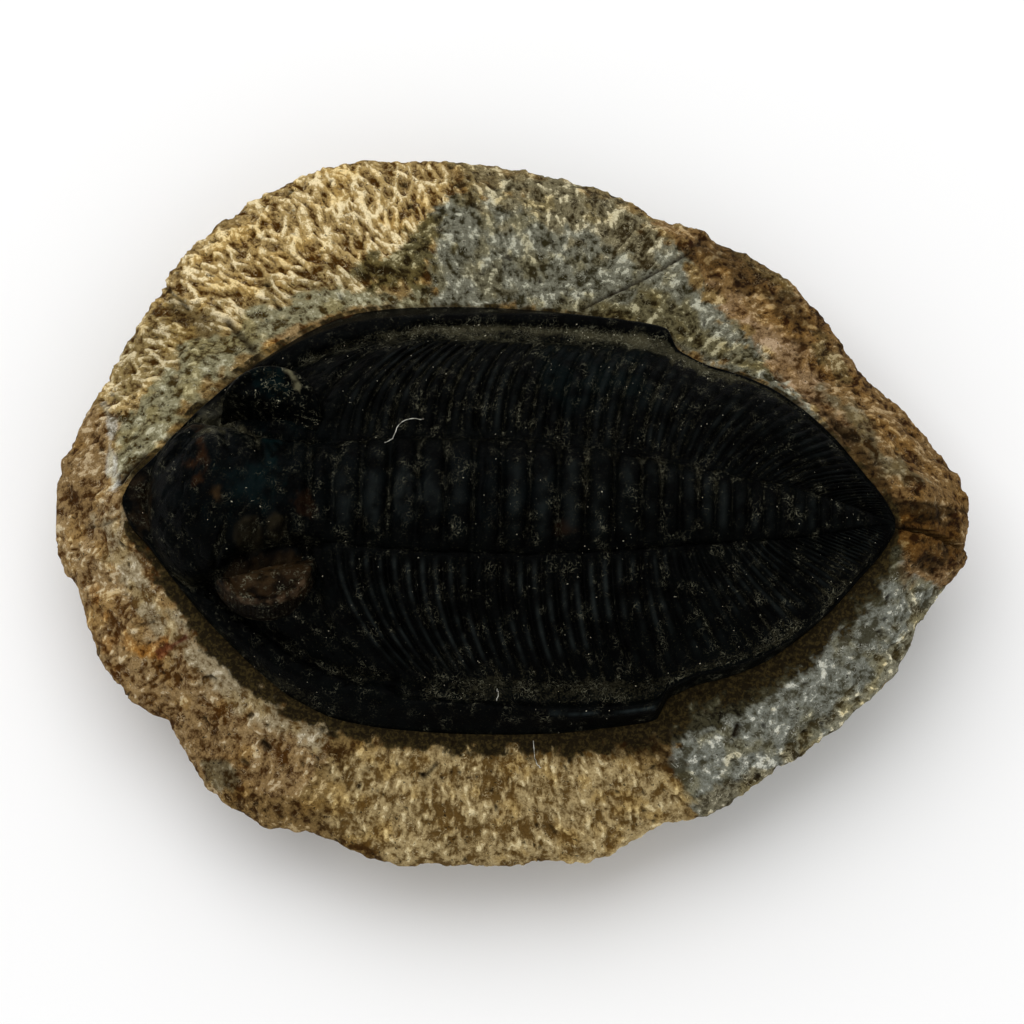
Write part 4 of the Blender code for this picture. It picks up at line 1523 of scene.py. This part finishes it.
@dataclass
class LimestoneBlock:
    """The block: a flat sawn base, a rough undercut side, and a chiselled bank up to the fossil."""

    view: PhotoView
    fossil: Trilobite
    finish: bpy.types.Material
    centre: tuple[float, float] = (0.0, 1.0)
    spokes: int = 1200
    bank_rows: int = 62
    side_rows: int = 13
    edge_height: float = 11.0
    edge_rise_at_ends: float = 3.0
    seat_height: float = 19.0
    flank_bank: float = 19.6
    nose_bank: float = 22.2
    tail_bank: float = 22.0
    tuck: float = 1.8
    mark_width: float = 0.85
    mark_length: float = 2.8
    mark_radius: float = 45.0
    low_side: tuple[float, float] = (9.0, 3.0)
    low_side_share: float = 0.75
    clearance: float = 0.1
    bank_roundness: float = 0.45
    ledge_start: tuple[float, float] = (173.0, 176.0)
    ledge_end: tuple[float, float] = (225.0, 250.0)
    keel_height: float = 1.3
    keel_width: float = 5.0
    ledge_drop: float = 1.1
    lump_size: float = 9.0
    lump_height: float = 0.9
    chip_size: float = 3.2
    chip_height: float = 0.6
    pit_depth: float = 0.3
    edge_band: float = 6.0
    way_sway: Waves = Waves(51, 8.0, 2, 1.6)
    crumbs: Waves = Waves(55, 1.0, 3)
    broad_swell: Waves = Waves(56, 3.4, 2, 0.8)
    pits: Waves = Waves(57, 1.2, 2)
    edge_crumbs: Waves = Waves(59, 2.0, 3, 0.55)
    zone_pull: Waves = Waves(61, 2.6, 4, 1.6)
    dirt_cloud: Waves = Waves(62, 1.8, 3, 1.1)
    wash_patches: Waves = Waves(63, 3.6, 4)
    seam_patches: Waves = Waves(64, 1.3, 2)
    scratch_patches: Waves = Waves(65, 1.0, 2)
    surface: Array = field(init=False)
    outline: Knots = (
        (0, 52.6), (6, 50.4), (12, 47.8), (18, 45.1), (24, 43.3), (33, 42.9), (48, 41.6), (54, 40.5),
        (57, 40.9), (64, 39.3), (72, 40.2), (84, 41.4), (99, 43.3), (105, 44.6), (114, 46.7), (123, 47.7),
        (144, 49.1), (148, 48.6), (156, 48.9), (165, 50.1), (171, 51.4), (177, 52.6), (186, 52.5),
        (192, 50.6), (201, 50.5), (207, 49.1), (213, 46.8), (222, 47.4), (231, 46.7), (240, 44.2),
        (249, 43.8), (258, 42.5), (270, 41.2), (276, 41.0), (282, 42.1), (294, 40.6), (303, 42.4),
        (312, 42.7), (321, 44.6), (330, 46.4), (336, 48.1), (342, 48.6), (348, 50.1), (353, 52.5),
    )
    side_inset: Knots = ((0, 9.0), (0.1, 8.0), (0.34, 5.4), (0.62, 2.9), (0.88, 1.1), (1, 0.0))
    side_roughness: Knots = ((0, 0.0), (0.25, 1.3), (0.88, 1.3), (1, 0.3))

    def seat(self, degrees: Array) -> Array:
        """Measures the seat that the fossil lies in.

        Args:
            degrees: directions from the block's middle.

        Returns:
            The radius of the fossil's foot in each, with a little clearance.
        """
        foot = self.fossil.foot() - self.centre
        angle = np.degrees(np.arctan2(foot[:, 1], foot[:, 0]))
        apart = np.abs((degrees[:, None] - angle[None, :] + 180) % 360 - 180)
        reach = np.where(apart < 1.0, np.hypot(foot[:, 0], foot[:, 1])[None, :], 0)
        return reach.max(axis=1) + self.clearance

    def chips(self, points: Array, outwards: Array) -> Array:
        """The broad lumps and chips of the block, the same as in its solid.

        Args:
            points: the smooth block's points.
            outwards: the way in which each is moved.

        Returns:
            How far each point moves at full roughness.
        """
        flat = points.reshape(-1, 3)
        aside = Vector((7, 3, 5))
        lump = np.array([noise.noise(Vector(p) / self.lump_size) for p in flat]) * self.lump_height
        chip = np.array([noise.noise(Vector(p) / self.chip_size + aside) for p in flat]) * self.chip_height
        return (lump + chip).reshape(points.shape[:2])[..., None] * outwards

    def smooth_rings(self) -> tuple[Array, Array, Array]:
        """Shapes the block before the chisel.

        Returns:
            The rings of points from under the fossil out and down to the base, how strongly the chisel
            works on each point, and how far each point lies from the fossil's foot.
        """
        degrees = np.arange(self.spokes) * 360 / self.spokes
        knots = tuple((a + lap, r) for lap in (-360, 0, 360) for a, r in self.outline)
        edge, seat = curve_through(knots, degrees), self.seat(degrees)
        turn = np.radians(degrees)
        cosine = np.cos(turn)
        edge_height = self.edge_height + self.edge_rise_at_ends * cosine**2
        end_height = np.where(cosine < 0, self.nose_bank, self.tail_bank)
        bank = self.flank_bank + (end_height - self.flank_bank) * ease(0.72, 1.0, np.abs(cosine))
        keel = self.keel_height * bump((degrees + 180) % 360 - 180, self.keel_width)
        ledge = self.ledge_drop * ease(*self.ledge_start, degrees) * (1 - ease(*self.ledge_end, degrees))
        t = np.linspace(0, 1, self.bank_rows)[:, None]
        straight = 1 - self.bank_roundness
        q = straight * t + self.bank_roundness * np.sin(t * math.pi / 2)
        fall = straight * (1 - q) + self.bank_roundness * np.sqrt(1 - q * q)
        bank_radius = seat + (edge - seat) * q
        bank_height = edge_height + (bank - edge_height) * fall
        bank_height = bank_height + keel * np.sin(math.pi * np.minimum(q + 0.2, 1))
        bank_height = bank_height - ledge * ease(0, 0.5, q)
        bank_lumps = ease(0.0, 0.3, q) - 0.7 * ease(0.8, 1.0, q) + 0 * seat
        share = 1 - (np.arange(1, self.side_rows + 1) / self.side_rows)[:, None]
        side_radius = edge - curve_through(self.side_inset, share)
        side_height = (edge_height - ledge) * share
        side_lumps = curve_through(self.side_roughness, share) + 0 * seat
        tucked = np.array((seat - self.tuck - 0.6, seat - self.tuck))
        tucked_height = np.array((0 * seat + self.seat_height, bank))
        radius = np.vstack([tucked, bank_radius, side_radius])
        height = np.vstack([tucked_height, bank_height, side_height])
        lumps = np.vstack([0 * tucked, bank_lumps, side_lumps])
        on_bank = ease(0.0, 0.06, q) * (1 - 0.4 * ease(0.86, 1.0, q))
        chisel = np.vstack([0 * tucked, on_bank + 0 * seat, 0.4 * ease(0.0, 0.12, share) + 0 * seat])
        sine = np.sin(turn)
        rings = np.dstack([radius * cosine + self.centre[0], radius * sine + self.centre[1], height])
        outwards = np.dstack([cosine + 0 * radius, sine + 0 * radius, 0.8 + 0 * radius])
        rings = rings + self.chips(rings, outwards) * lumps[..., None]
        return rings, chisel, radius - seat

    def unrolled(self, rings: Array) -> tuple[Array, Array]:
        """Lays the block's surface out flat.

        Args:
            rings: the block's points.

        Returns:
            The direction of each point from the middle, and its reach, measured over the surface.
        """
        flat = rings[..., :2] - self.centre
        steps = np.linalg.norm(np.diff(rings, axis=0), axis=-1)
        first = np.hypot(flat[:1, :, 0], flat[:1, :, 1])
        reach = np.concatenate([first, first + np.cumsum(steps, axis=0)])
        return np.arctan2(flat[..., 1], flat[..., 0]), reach

    def chisel_way(self, turn: Array, reach: Array, rings: Array) -> Array:
        """Gives each point its place across and along the chisel's strokes.

        Args:
            turn, reach: the unrolled place of each point.
            rings: the block's points.

        Returns:
            The place, in widths and lengths of a mark.
        """
        turn = turn + self.way_sway.over(rings) / self.mark_radius
        around = self.mark_radius / self.mark_width
        return np.dstack([np.cos(turn) * around, np.sin(turn) * around, reach / self.mark_length])

    def marks(self, turn: Array, reach: Array, rings: Array, carved: Array) -> Array:
        """Works out the chisel's relief.

        Args:
            turn, reach: the unrolled place of each point.
            rings: the block's points.
            carved: 1 where the chisel went deep, 0 where it hardly did.

        Returns:
            The relief, about -1 to 1: strokes where the chisel went deep, crumbs where it did not.
        """
        strokes = ChiselStrokes().over(turn, reach)
        relief = strokes * (0.4 + 0.9 * carved) - 0.27 - 0.25 * carved
        relief = relief + self.crumbs.over(rings) * (1.1 - 0.4 * carved)
        return np.clip(relief + self.broad_swell.over(rings), -1.2, 1.2)

    def stones(self, across: Array, down: Array, rings: Array) -> tuple[Array, Array]:
        """Lays the kinds of stone over the block.

        Args:
            across, down: the pixels that show each point.
            rings: the block's points.

        Returns:
            For each point the colours of its ridges, body and hollows, one after the other, and the
            chisel's depth.
        """
        pull = self.zone_pull.over(rings)
        looks = np.zeros((*rings.shape[:2], 10))
        looks += Stone.TAN.value.numbers()
        for stone, zone in STONE_ZONES:
            looks += (stone.value.numbers() - looks) * zone.cover(across, down, pull)[..., None]
        cover = self.low_side_share * ease(*self.low_side, rings[..., 2] + pull * 2.5)[..., None]
        looks += (Stone.MOTTLE.value.numbers() - looks) * cover
        return looks[..., :9], looks[..., 9]

    def build(self) -> bpy.types.Object:
        """Makes the block's piece.

        Returns:
            The piece, which stands for the solid of the block.
        """
        rings, chisel, from_foot = self.smooth_rings()
        across, down = self.view.pixels_of(rings)
        colours, depth = self.stones(across, down, rings)
        turn, reach = self.unrolled(rings)
        carved = ease(0.08, 0.4, depth * chisel)
        marks = self.marks(turn, reach, rings, carved)
        holes = sum(mark.cut(across, down) * mark.depth for mark in BLOCK_MARKS)
        pits = ease(0.42, 0.56, self.pits.over(rings))
        row = np.arange(len(rings))[:, None]
        crumbs = self.edge_crumbs.over(rings) * bump(row - self.bank_rows, self.edge_band)
        lift = (marks - 0.25) * depth * chisel + crumbs - (holes + pits * self.pit_depth) * chisel
        rings = kept_in("matrix", rings + normals_of(rings) * lift[..., None])
        self.surface = rings[2:2 + self.bank_rows].reshape(-1, 3)
        mesh = closed_mesh("matrix_stone", rings)
        carry(
            mesh,
            ridge_colour=colours[..., :3],
            body_colour=colours[..., 3:6],
            hollow_colour=colours[..., 6:],
            chisel_relief=marks,
            carved=carved,
            chisel_way=self.chisel_way(turn, reach, rings),
            pits=np.clip(pits * 0.8 + holes * 2.2, 0, 1),
            wash=0.55 * ease(0.0, 0.35, self.wash_patches.over(rings)),
            seam_share=ease(0.0, 0.25, self.seam_patches.over(rings)),
            scratch_share=ease(0.08, 0.3, self.scratch_patches.over(rings)),
            dirt=self.dirt(from_foot, rings),
        )
        piece = add_piece("matrix_stone", mesh, self.finish)
        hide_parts("matrix")
        return piece

    def dirt(self, from_foot: Array, rings: Array) -> Array:
        """Works out dirt along the fossil's foot, with a painted shadow of the fossil on the viewer's side.

        Args:
            from_foot: how far each point is from the foot.
            rings: the block's points.

        Returns:
            The dirt and painted shadow, 0 to 1.
        """
        turn = np.arctan2(rings[..., 1] - self.centre[1], rings[..., 0])
        # Painted shadow: the band is darker and wider on the viewer's side, below the fossil, and widest
        # towards the tail.
        below = 1 - ease(-0.5, 0.1, np.sin(turn))
        width = 0.3 + (2.1 + 1.8 * ease(-0.3, 0.5, np.cos(turn))) * below
        cloud = self.dirt_cloud.over(rings)
        near = np.clip(1 - from_foot / width, 0, 1)
        return np.clip(near * (0.55 + 0.8 * below) + cloud * np.minimum(near * 3, 1), 0, 1)


STONE_ZONES: tuple[tuple[Stone, Zone], ...] = (
    (Stone.CREAM, Zone(((95, 440), (100, 370), (160, 280), (240, 200), (330, 150), (440, 150), (456, 205),
                        (440, 262), (380, 300), (300, 312), (235, 345), (165, 400)), 14, 18)),
    (Stone.BROWN, Zone(((118, 400), (112, 350), (160, 300), (215, 300), (235, 330), (215, 350), (150, 392)),
                       16, 18, 0.8)),
    (Stone.BROWN, Zone(((215, 345), (240, 300), (330, 262), (420, 256), (430, 290), (330, 300), (262, 322)),
                       22, 22, 0.65)),
    (Stone.UMBER, Zone(((165, 296), (190, 300), (214, 326), (224, 352), (212, 356), (196, 334), (168, 312)),
                       12, 14, 0.55)),
    (Stone.PALE, Zone(((116, 480), (112, 440), (114, 416), (140, 398), (190, 345), (222, 338), (262, 306),
                       (330, 290), (400, 290), (440, 285), (440, 312), (360, 320), (270, 340), (200, 395),
                       (140, 455)), 10, 16)),
    (Stone.BLUE_GREY, Zone(((436, 210), (458, 194), (520, 180), (562, 180), (620, 208), (665, 236),
                            (690, 255), (712, 300), (745, 325), (800, 380), (852, 445), (836, 450),
                            (740, 380), (640, 330), (560, 312), (430, 312), (418, 262)), 10, 20)),
    (Stone.MOTTLE, Zone(((452, 160), (520, 164), (600, 186), (650, 216), (672, 240), (640, 262), (600, 250),
                         (560, 222), (510, 214), (470, 200)), 16, 22, 0.75)),
    (Stone.OLIVE, Zone(((352, 262), (395, 250), (418, 222), (436, 222), (440, 250), (426, 288), (372, 296)),
                       8, 20, 0.95)),
    (Stone.OLIVE, Zone(((590, 306), (640, 290), (690, 300), (712, 330), (770, 372), (690, 350), (650, 334),
                        (600, 318)), 12, 14, 0.8)),
    (Stone.OLIVE, Zone(((470, 268), (500, 262), (505, 290), (476, 296)), 12, 18, 0.5)),
    (Stone.RUST, Zone(((655, 222), (705, 226), (765, 252), (830, 300), (880, 370), (940, 440), (976, 490),
                       (976, 530), (892, 524), (862, 470), (800, 395), (748, 328), (712, 292), (690, 252)),
                      6, 12)),
    (Stone.PINK, Zone(((712, 288), (738, 300), (790, 340), (830, 392), (870, 430), (852, 446), (800, 398),
                       (748, 332)), 10, 14, 0.85)),
    (Stone.OLIVE, Zone(((735, 252), (770, 262), (800, 290), (790, 296), (752, 272)), 8, 10, 0.55)),
    (Stone.OLIVE, Zone(((812, 330), (836, 348), (852, 384), (838, 384), (818, 352)), 8, 10, 0.5)),
    (Stone.ASH, Zone(((820, 388), (852, 398), (880, 440), (925, 480), (905, 492), (872, 466), (838, 412)),
                     12, 10, 0.9)),
    (Stone.UMBER, Zone(((812, 402), (830, 412), (856, 436), (884, 470), (896, 496), (876, 488), (846, 448)),
                       8, 9, 0.85)),
    (Stone.UMBER, Zone(((690, 232), (716, 238), (772, 280), (760, 300), (716, 270), (688, 256)),
                       10, 16, 0.6)),
    (Stone.UMBER, Zone(((770, 292), (800, 296), (816, 330), (800, 338), (776, 318)), 10, 14, 0.7)),
    (Stone.STAIN, Zone(((870, 520), (900, 524), (915, 548), (905, 600), (860, 660), (800, 710), (740, 750),
                        (690, 750), (655, 738), (640, 722), (660, 690)), 5, 9)),
    (Stone.SLATE, Zone(((905, 556), (950, 580), (935, 640), (880, 700), (820, 760), (760, 800), (700, 830),
                        (668, 770), (672, 745), (705, 731), (743, 711), (781, 686), (799, 659), (846, 626),
                        (876, 603), (892, 563)), 4, 10)),
    (Stone.NUBS, Zone(((925, 590), (952, 590), (940, 645), (880, 706), (822, 768), (762, 806), (742, 800),
                       (800, 742), (848, 700), (888, 650)), 12, 22, 0.85)),
    (Stone.MOTTLE, Zone(((690, 812), (700, 796), (760, 770), (812, 742), (832, 752), (766, 806), (704, 836)),
                        8, 14, 0.6)),
    (Stone.RUST, Zone(((892, 500), (976, 495), (976, 560), (945, 586), (912, 574), (900, 556)), 6, 10)),
    (Stone.PINK, Zone(((896, 552), (950, 550), (950, 584), (905, 580)), 8, 10, 0.4)),
    (Stone.UMBER, Zone(((888, 496), (926, 500), (972, 512), (950, 516), (900, 526)), 5, 5, 0.85)),
    (Stone.UMBER, Zone(((890, 500), (925, 506), (958, 518), (962, 552), (925, 566), (900, 556)),
                       8, 14, 0.9)),
    (Stone.OCHRE, Zone(((900, 530), (955, 524), (960, 548), (902, 552)), 10, 18, 0.22)),
    (Stone.BEIGE, Zone(((340, 760), (420, 742), (600, 748), (668, 770), (700, 830), (600, 880), (420, 880),
                        (330, 830)), 20, 20, 0.95)),
    (Stone.ROSE, Zone(((40, 430), (94, 400), (112, 416), (114, 480), (150, 560), (230, 690), (330, 742),
                       (300, 800), (190, 790), (90, 690), (40, 560)), 8, 10)),
    (Stone.RUST, Zone(((56, 420), (94, 405), (104, 440), (92, 520), (60, 520)), 14, 16, 0.6)),
    (Stone.RUST, Zone(((150, 700), (200, 720), (300, 790), (340, 860), (240, 830), (190, 770)),
                      20, 20, 0.5)),
    (Stone.BAND, Zone(((98, 520), (124, 520), (156, 590), (190, 634), (232, 668), (330, 730), (316, 746),
                       (246, 718), (216, 692), (170, 654), (132, 606)), 16, 18, 0.85)),
    (Stone.UMBER, Zone(((640, 722), (668, 730), (676, 760), (650, 768), (600, 744), (600, 728)),
                       12, 16, 0.6)),
    (Stone.OCHRE, Zone(((82, 596), (96, 590), (104, 606), (98, 616), (86, 614)), 10, 20, 0.6)),
    (Stone.OCHRE, Zone(((104, 634), (118, 632), (130, 644), (122, 656), (106, 648)), 10, 20, 0.5)),
    (Stone.OCHRE, Zone(((140, 652), (158, 642), (170, 634), (168, 654), (148, 664)), 5, 9, 0.8)),
    (Stone.RED, Zone(((156, 653), (168, 643), (186, 633), (188, 640), (172, 651), (158, 659)), 3, 4, 0.9)),
    (Stone.OCHRE, Zone(((262, 343), (300, 324), (345, 310), (395, 305), (395, 311), (348, 316), (303, 331),
                        (266, 350)), 3, 5, 0.45)),
    (Stone.CHALK, Zone(((107, 448), (111, 438), (114, 460), (122, 486), (114, 488), (107, 470)),
                       4, 6, 0.95)),
    (Stone.CHALK, Zone(((98, 402), (104, 400), (114, 420), (113, 440), (109, 440), (106, 418)), 3, 4, 0.8)),
    (Stone.ASH, Zone(((202, 760), (222, 760), (240, 780), (236, 796), (220, 790), (204, 776)), 5, 6, 0.9)),
)
BLOCK_MARKS: tuple[Stroke, ...] = (
    Stroke(((583, 308), (622, 288), (655, 272), (692, 250)), 1.6, 0.42),
    Stroke(((165, 287), (178, 299), (188, 309)), 1.8, 0.4),
    Stroke(((84, 528), (100, 526), (116, 519)), 1.3, 0.3),
    Stroke(((135, 627), (154, 622)), 1.3, 0.3),
    Stroke(((262, 743), (268, 748)), 3.0, 0.5),
    Stroke(((242, 760), (247, 764)), 2.6, 0.45),
    Stroke(((738, 726), (735, 736)), 2.4, 0.5),
    Stroke(((764, 725), (765, 727)), 1.8, 0.4),
    Stroke(((424, 778), (436, 764)), 2.2, 0.4),
    Stroke(((507, 254), (511, 258)), 2.2, 0.4),
    Stroke(((505, 266), (506, 268)), 1.6, 0.35),
    Stroke(((836, 427), (846, 436)), 2.0, 0.4),
    Stroke(((893, 524), (924, 521), (953, 514)), 1.6, 0.35),
    Stroke(((884, 497), (925, 503), (965, 511)), 1.4, 0.3),
    Stroke(((228, 322), (240, 334), (252, 348)), 4.0, 0.4),
    Stroke(((119, 482), (130, 468), (144, 455)), 3.0, 0.5),
)


@dataclass
class LintFibre:
    """A loose fibre that lies on the shell or on the stone, along a few points of the photograph."""

    name: str
    route: tuple[Pixel, ...]
    ground: Trilobite | LimestoneBlock
    finish: bpy.types.Material
    radius: float = 0.042
    lift: float = 0.04
    steps: int = 70
    sides: int = 6
    smoothing_rounds: int = 6

    def path(self) -> Array:
        """Finds the middle of the fibre on the ground that the photograph shows there.

        Returns:
            The points of the middle.
        """
        at = np.linspace(0, len(self.route) - 1, self.steps)
        ways = (curve_through(tuple(enumerate(way)), at) for way in zip(*self.route))
        seen = np.stack(self.ground.view.pixels_of(self.ground.surface), axis=-1)
        nearest = [np.argmin(((seen - pixel) ** 2).sum(axis=1)) for pixel in zip(*ways)]
        path = self.ground.surface[nearest]
        for _ in range(self.smoothing_rounds):
            path[1:-1] = (path[:-2] + 2 * path[1:-1] + path[2:]) / 4
        return path + (0, 0, self.radius + self.lift)

    def build(self) -> bpy.types.Object:
        """Makes the fibre's piece.

        Returns:
            The piece, a thin tube.
        """
        path = self.path()
        ahead = np.gradient(path, axis=0)
        ahead /= np.linalg.norm(ahead, axis=1, keepdims=True)
        side = np.cross(ahead, (0, 0, 1))
        side /= np.linalg.norm(side, axis=1, keepdims=True)
        over = np.cross(side, ahead)
        turn = 2 * math.pi * np.arange(self.sides)[None, :, None] / self.sides
        rings = path[:, None] + self.radius * (np.cos(turn) * side[:, None] + np.sin(turn) * over[:, None])
        return add_piece(self.name, closed_mesh(self.name, rings), self.finish)


SHELL_FIBRES: tuple[tuple[str, tuple[Pixel, ...]], ...] = (
    ("lint_fibre_bent", ((385, 443), (393, 438), (398, 426), (408, 420), (423, 419))),
    ("lint_fibre_short", ((497, 688), (498, 694), (497, 700))),
)
STONE_FIBRE: tuple[Pixel, ...] = ((533, 740), (534, 752), (536, 762), (541, 769))


@dataclass(frozen=True)
class Lamp:
    """A soft square lamp that shines on the fossil, in metres and watts."""

    name: str
    side: float
    power: float
    place: tuple[float, float, float]
    aim: tuple[float, float, float] = (0.0, 0.0, 0.02)

    def build(self) -> None:
        """Hangs the lamp."""
        light = bpy.data.lights.new(self.name, "AREA")
        light.size = self.side
        light.energy = self.power
        lamp = bpy.data.objects.new(self.name, light)
        lamp.location = self.place
        lamp.rotation_euler = (Vector(self.aim) - Vector(self.place)).to_track_quat("-Z", "Y").to_euler()
        bpy.context.scene.collection.objects.link(lamp)


@dataclass(frozen=True)
class Studio:
    """The pale floor, the soft light round the block, and the camera."""

    view: PhotoView
    floor_reach: float = 1.5
    sky: float = 0.6
    lamps: tuple[Lamp, ...] = (
        Lamp("key_light", 1.3, 9.2, (-0.2, 0.5, 0.95)),
        Lamp("fill_light", 0.9, 1.8, (0.2, -0.9, 0.8)),
    )

    def lay_floor(self) -> None:
        """Lays the floor."""
        mesh = bpy.data.meshes.new("pale_floor")
        reach = self.floor_reach
        corners = [(-reach, -reach, 0), (reach, -reach, 0), (reach, reach, 0), (-reach, reach, 0)]
        mesh.from_pydata(corners, [], [(0, 1, 2, 3)])
        mesh.materials.append(FloorFinish().make())
        floor = bpy.data.objects.new("pale_floor", mesh)
        bpy.context.scene.collection.objects.link(floor)

    def build(self) -> None:
        """Sets the studio up."""
        self.lay_floor()
        for lamp in self.lamps:
            lamp.build()
        world = bpy.data.worlds.new("soft_studio")
        world.use_nodes = True
        background = world.node_tree.nodes["Background"]
        background.inputs["Color"].default_value = (1.0, 1.0, 1.0, 1.0)
        background.inputs["Strength"].default_value = self.sky
        bpy.context.scene.world = world
        bpy.context.scene.view_settings.view_transform = "Standard"
        self.view.build()


def main() -> None:
    """Builds the fossil, its eyes and the block, and sets them in the studio."""
    logging.basicConfig(level=logging.INFO)
    view = PhotoView()
    shell = ShellFinish().make()
    body = Trilobite(view, shell)
    body.build()
    for name, side in (("eye_left", 1), ("eye_right", -1)):
        CompoundEye(body, name, side).build()
    block = LimestoneBlock(view, body, LimestoneFinish().make())
    block.build()
    lint = FibreFinish().make()
    for name, route in SHELL_FIBRES:
        LintFibre(name, route, body, lint).build()
    LintFibre("lint_fibre_stone", STONE_FIBRE, block, lint).build()
    Studio(view).build()


if __name__ == "__main__":
    main()
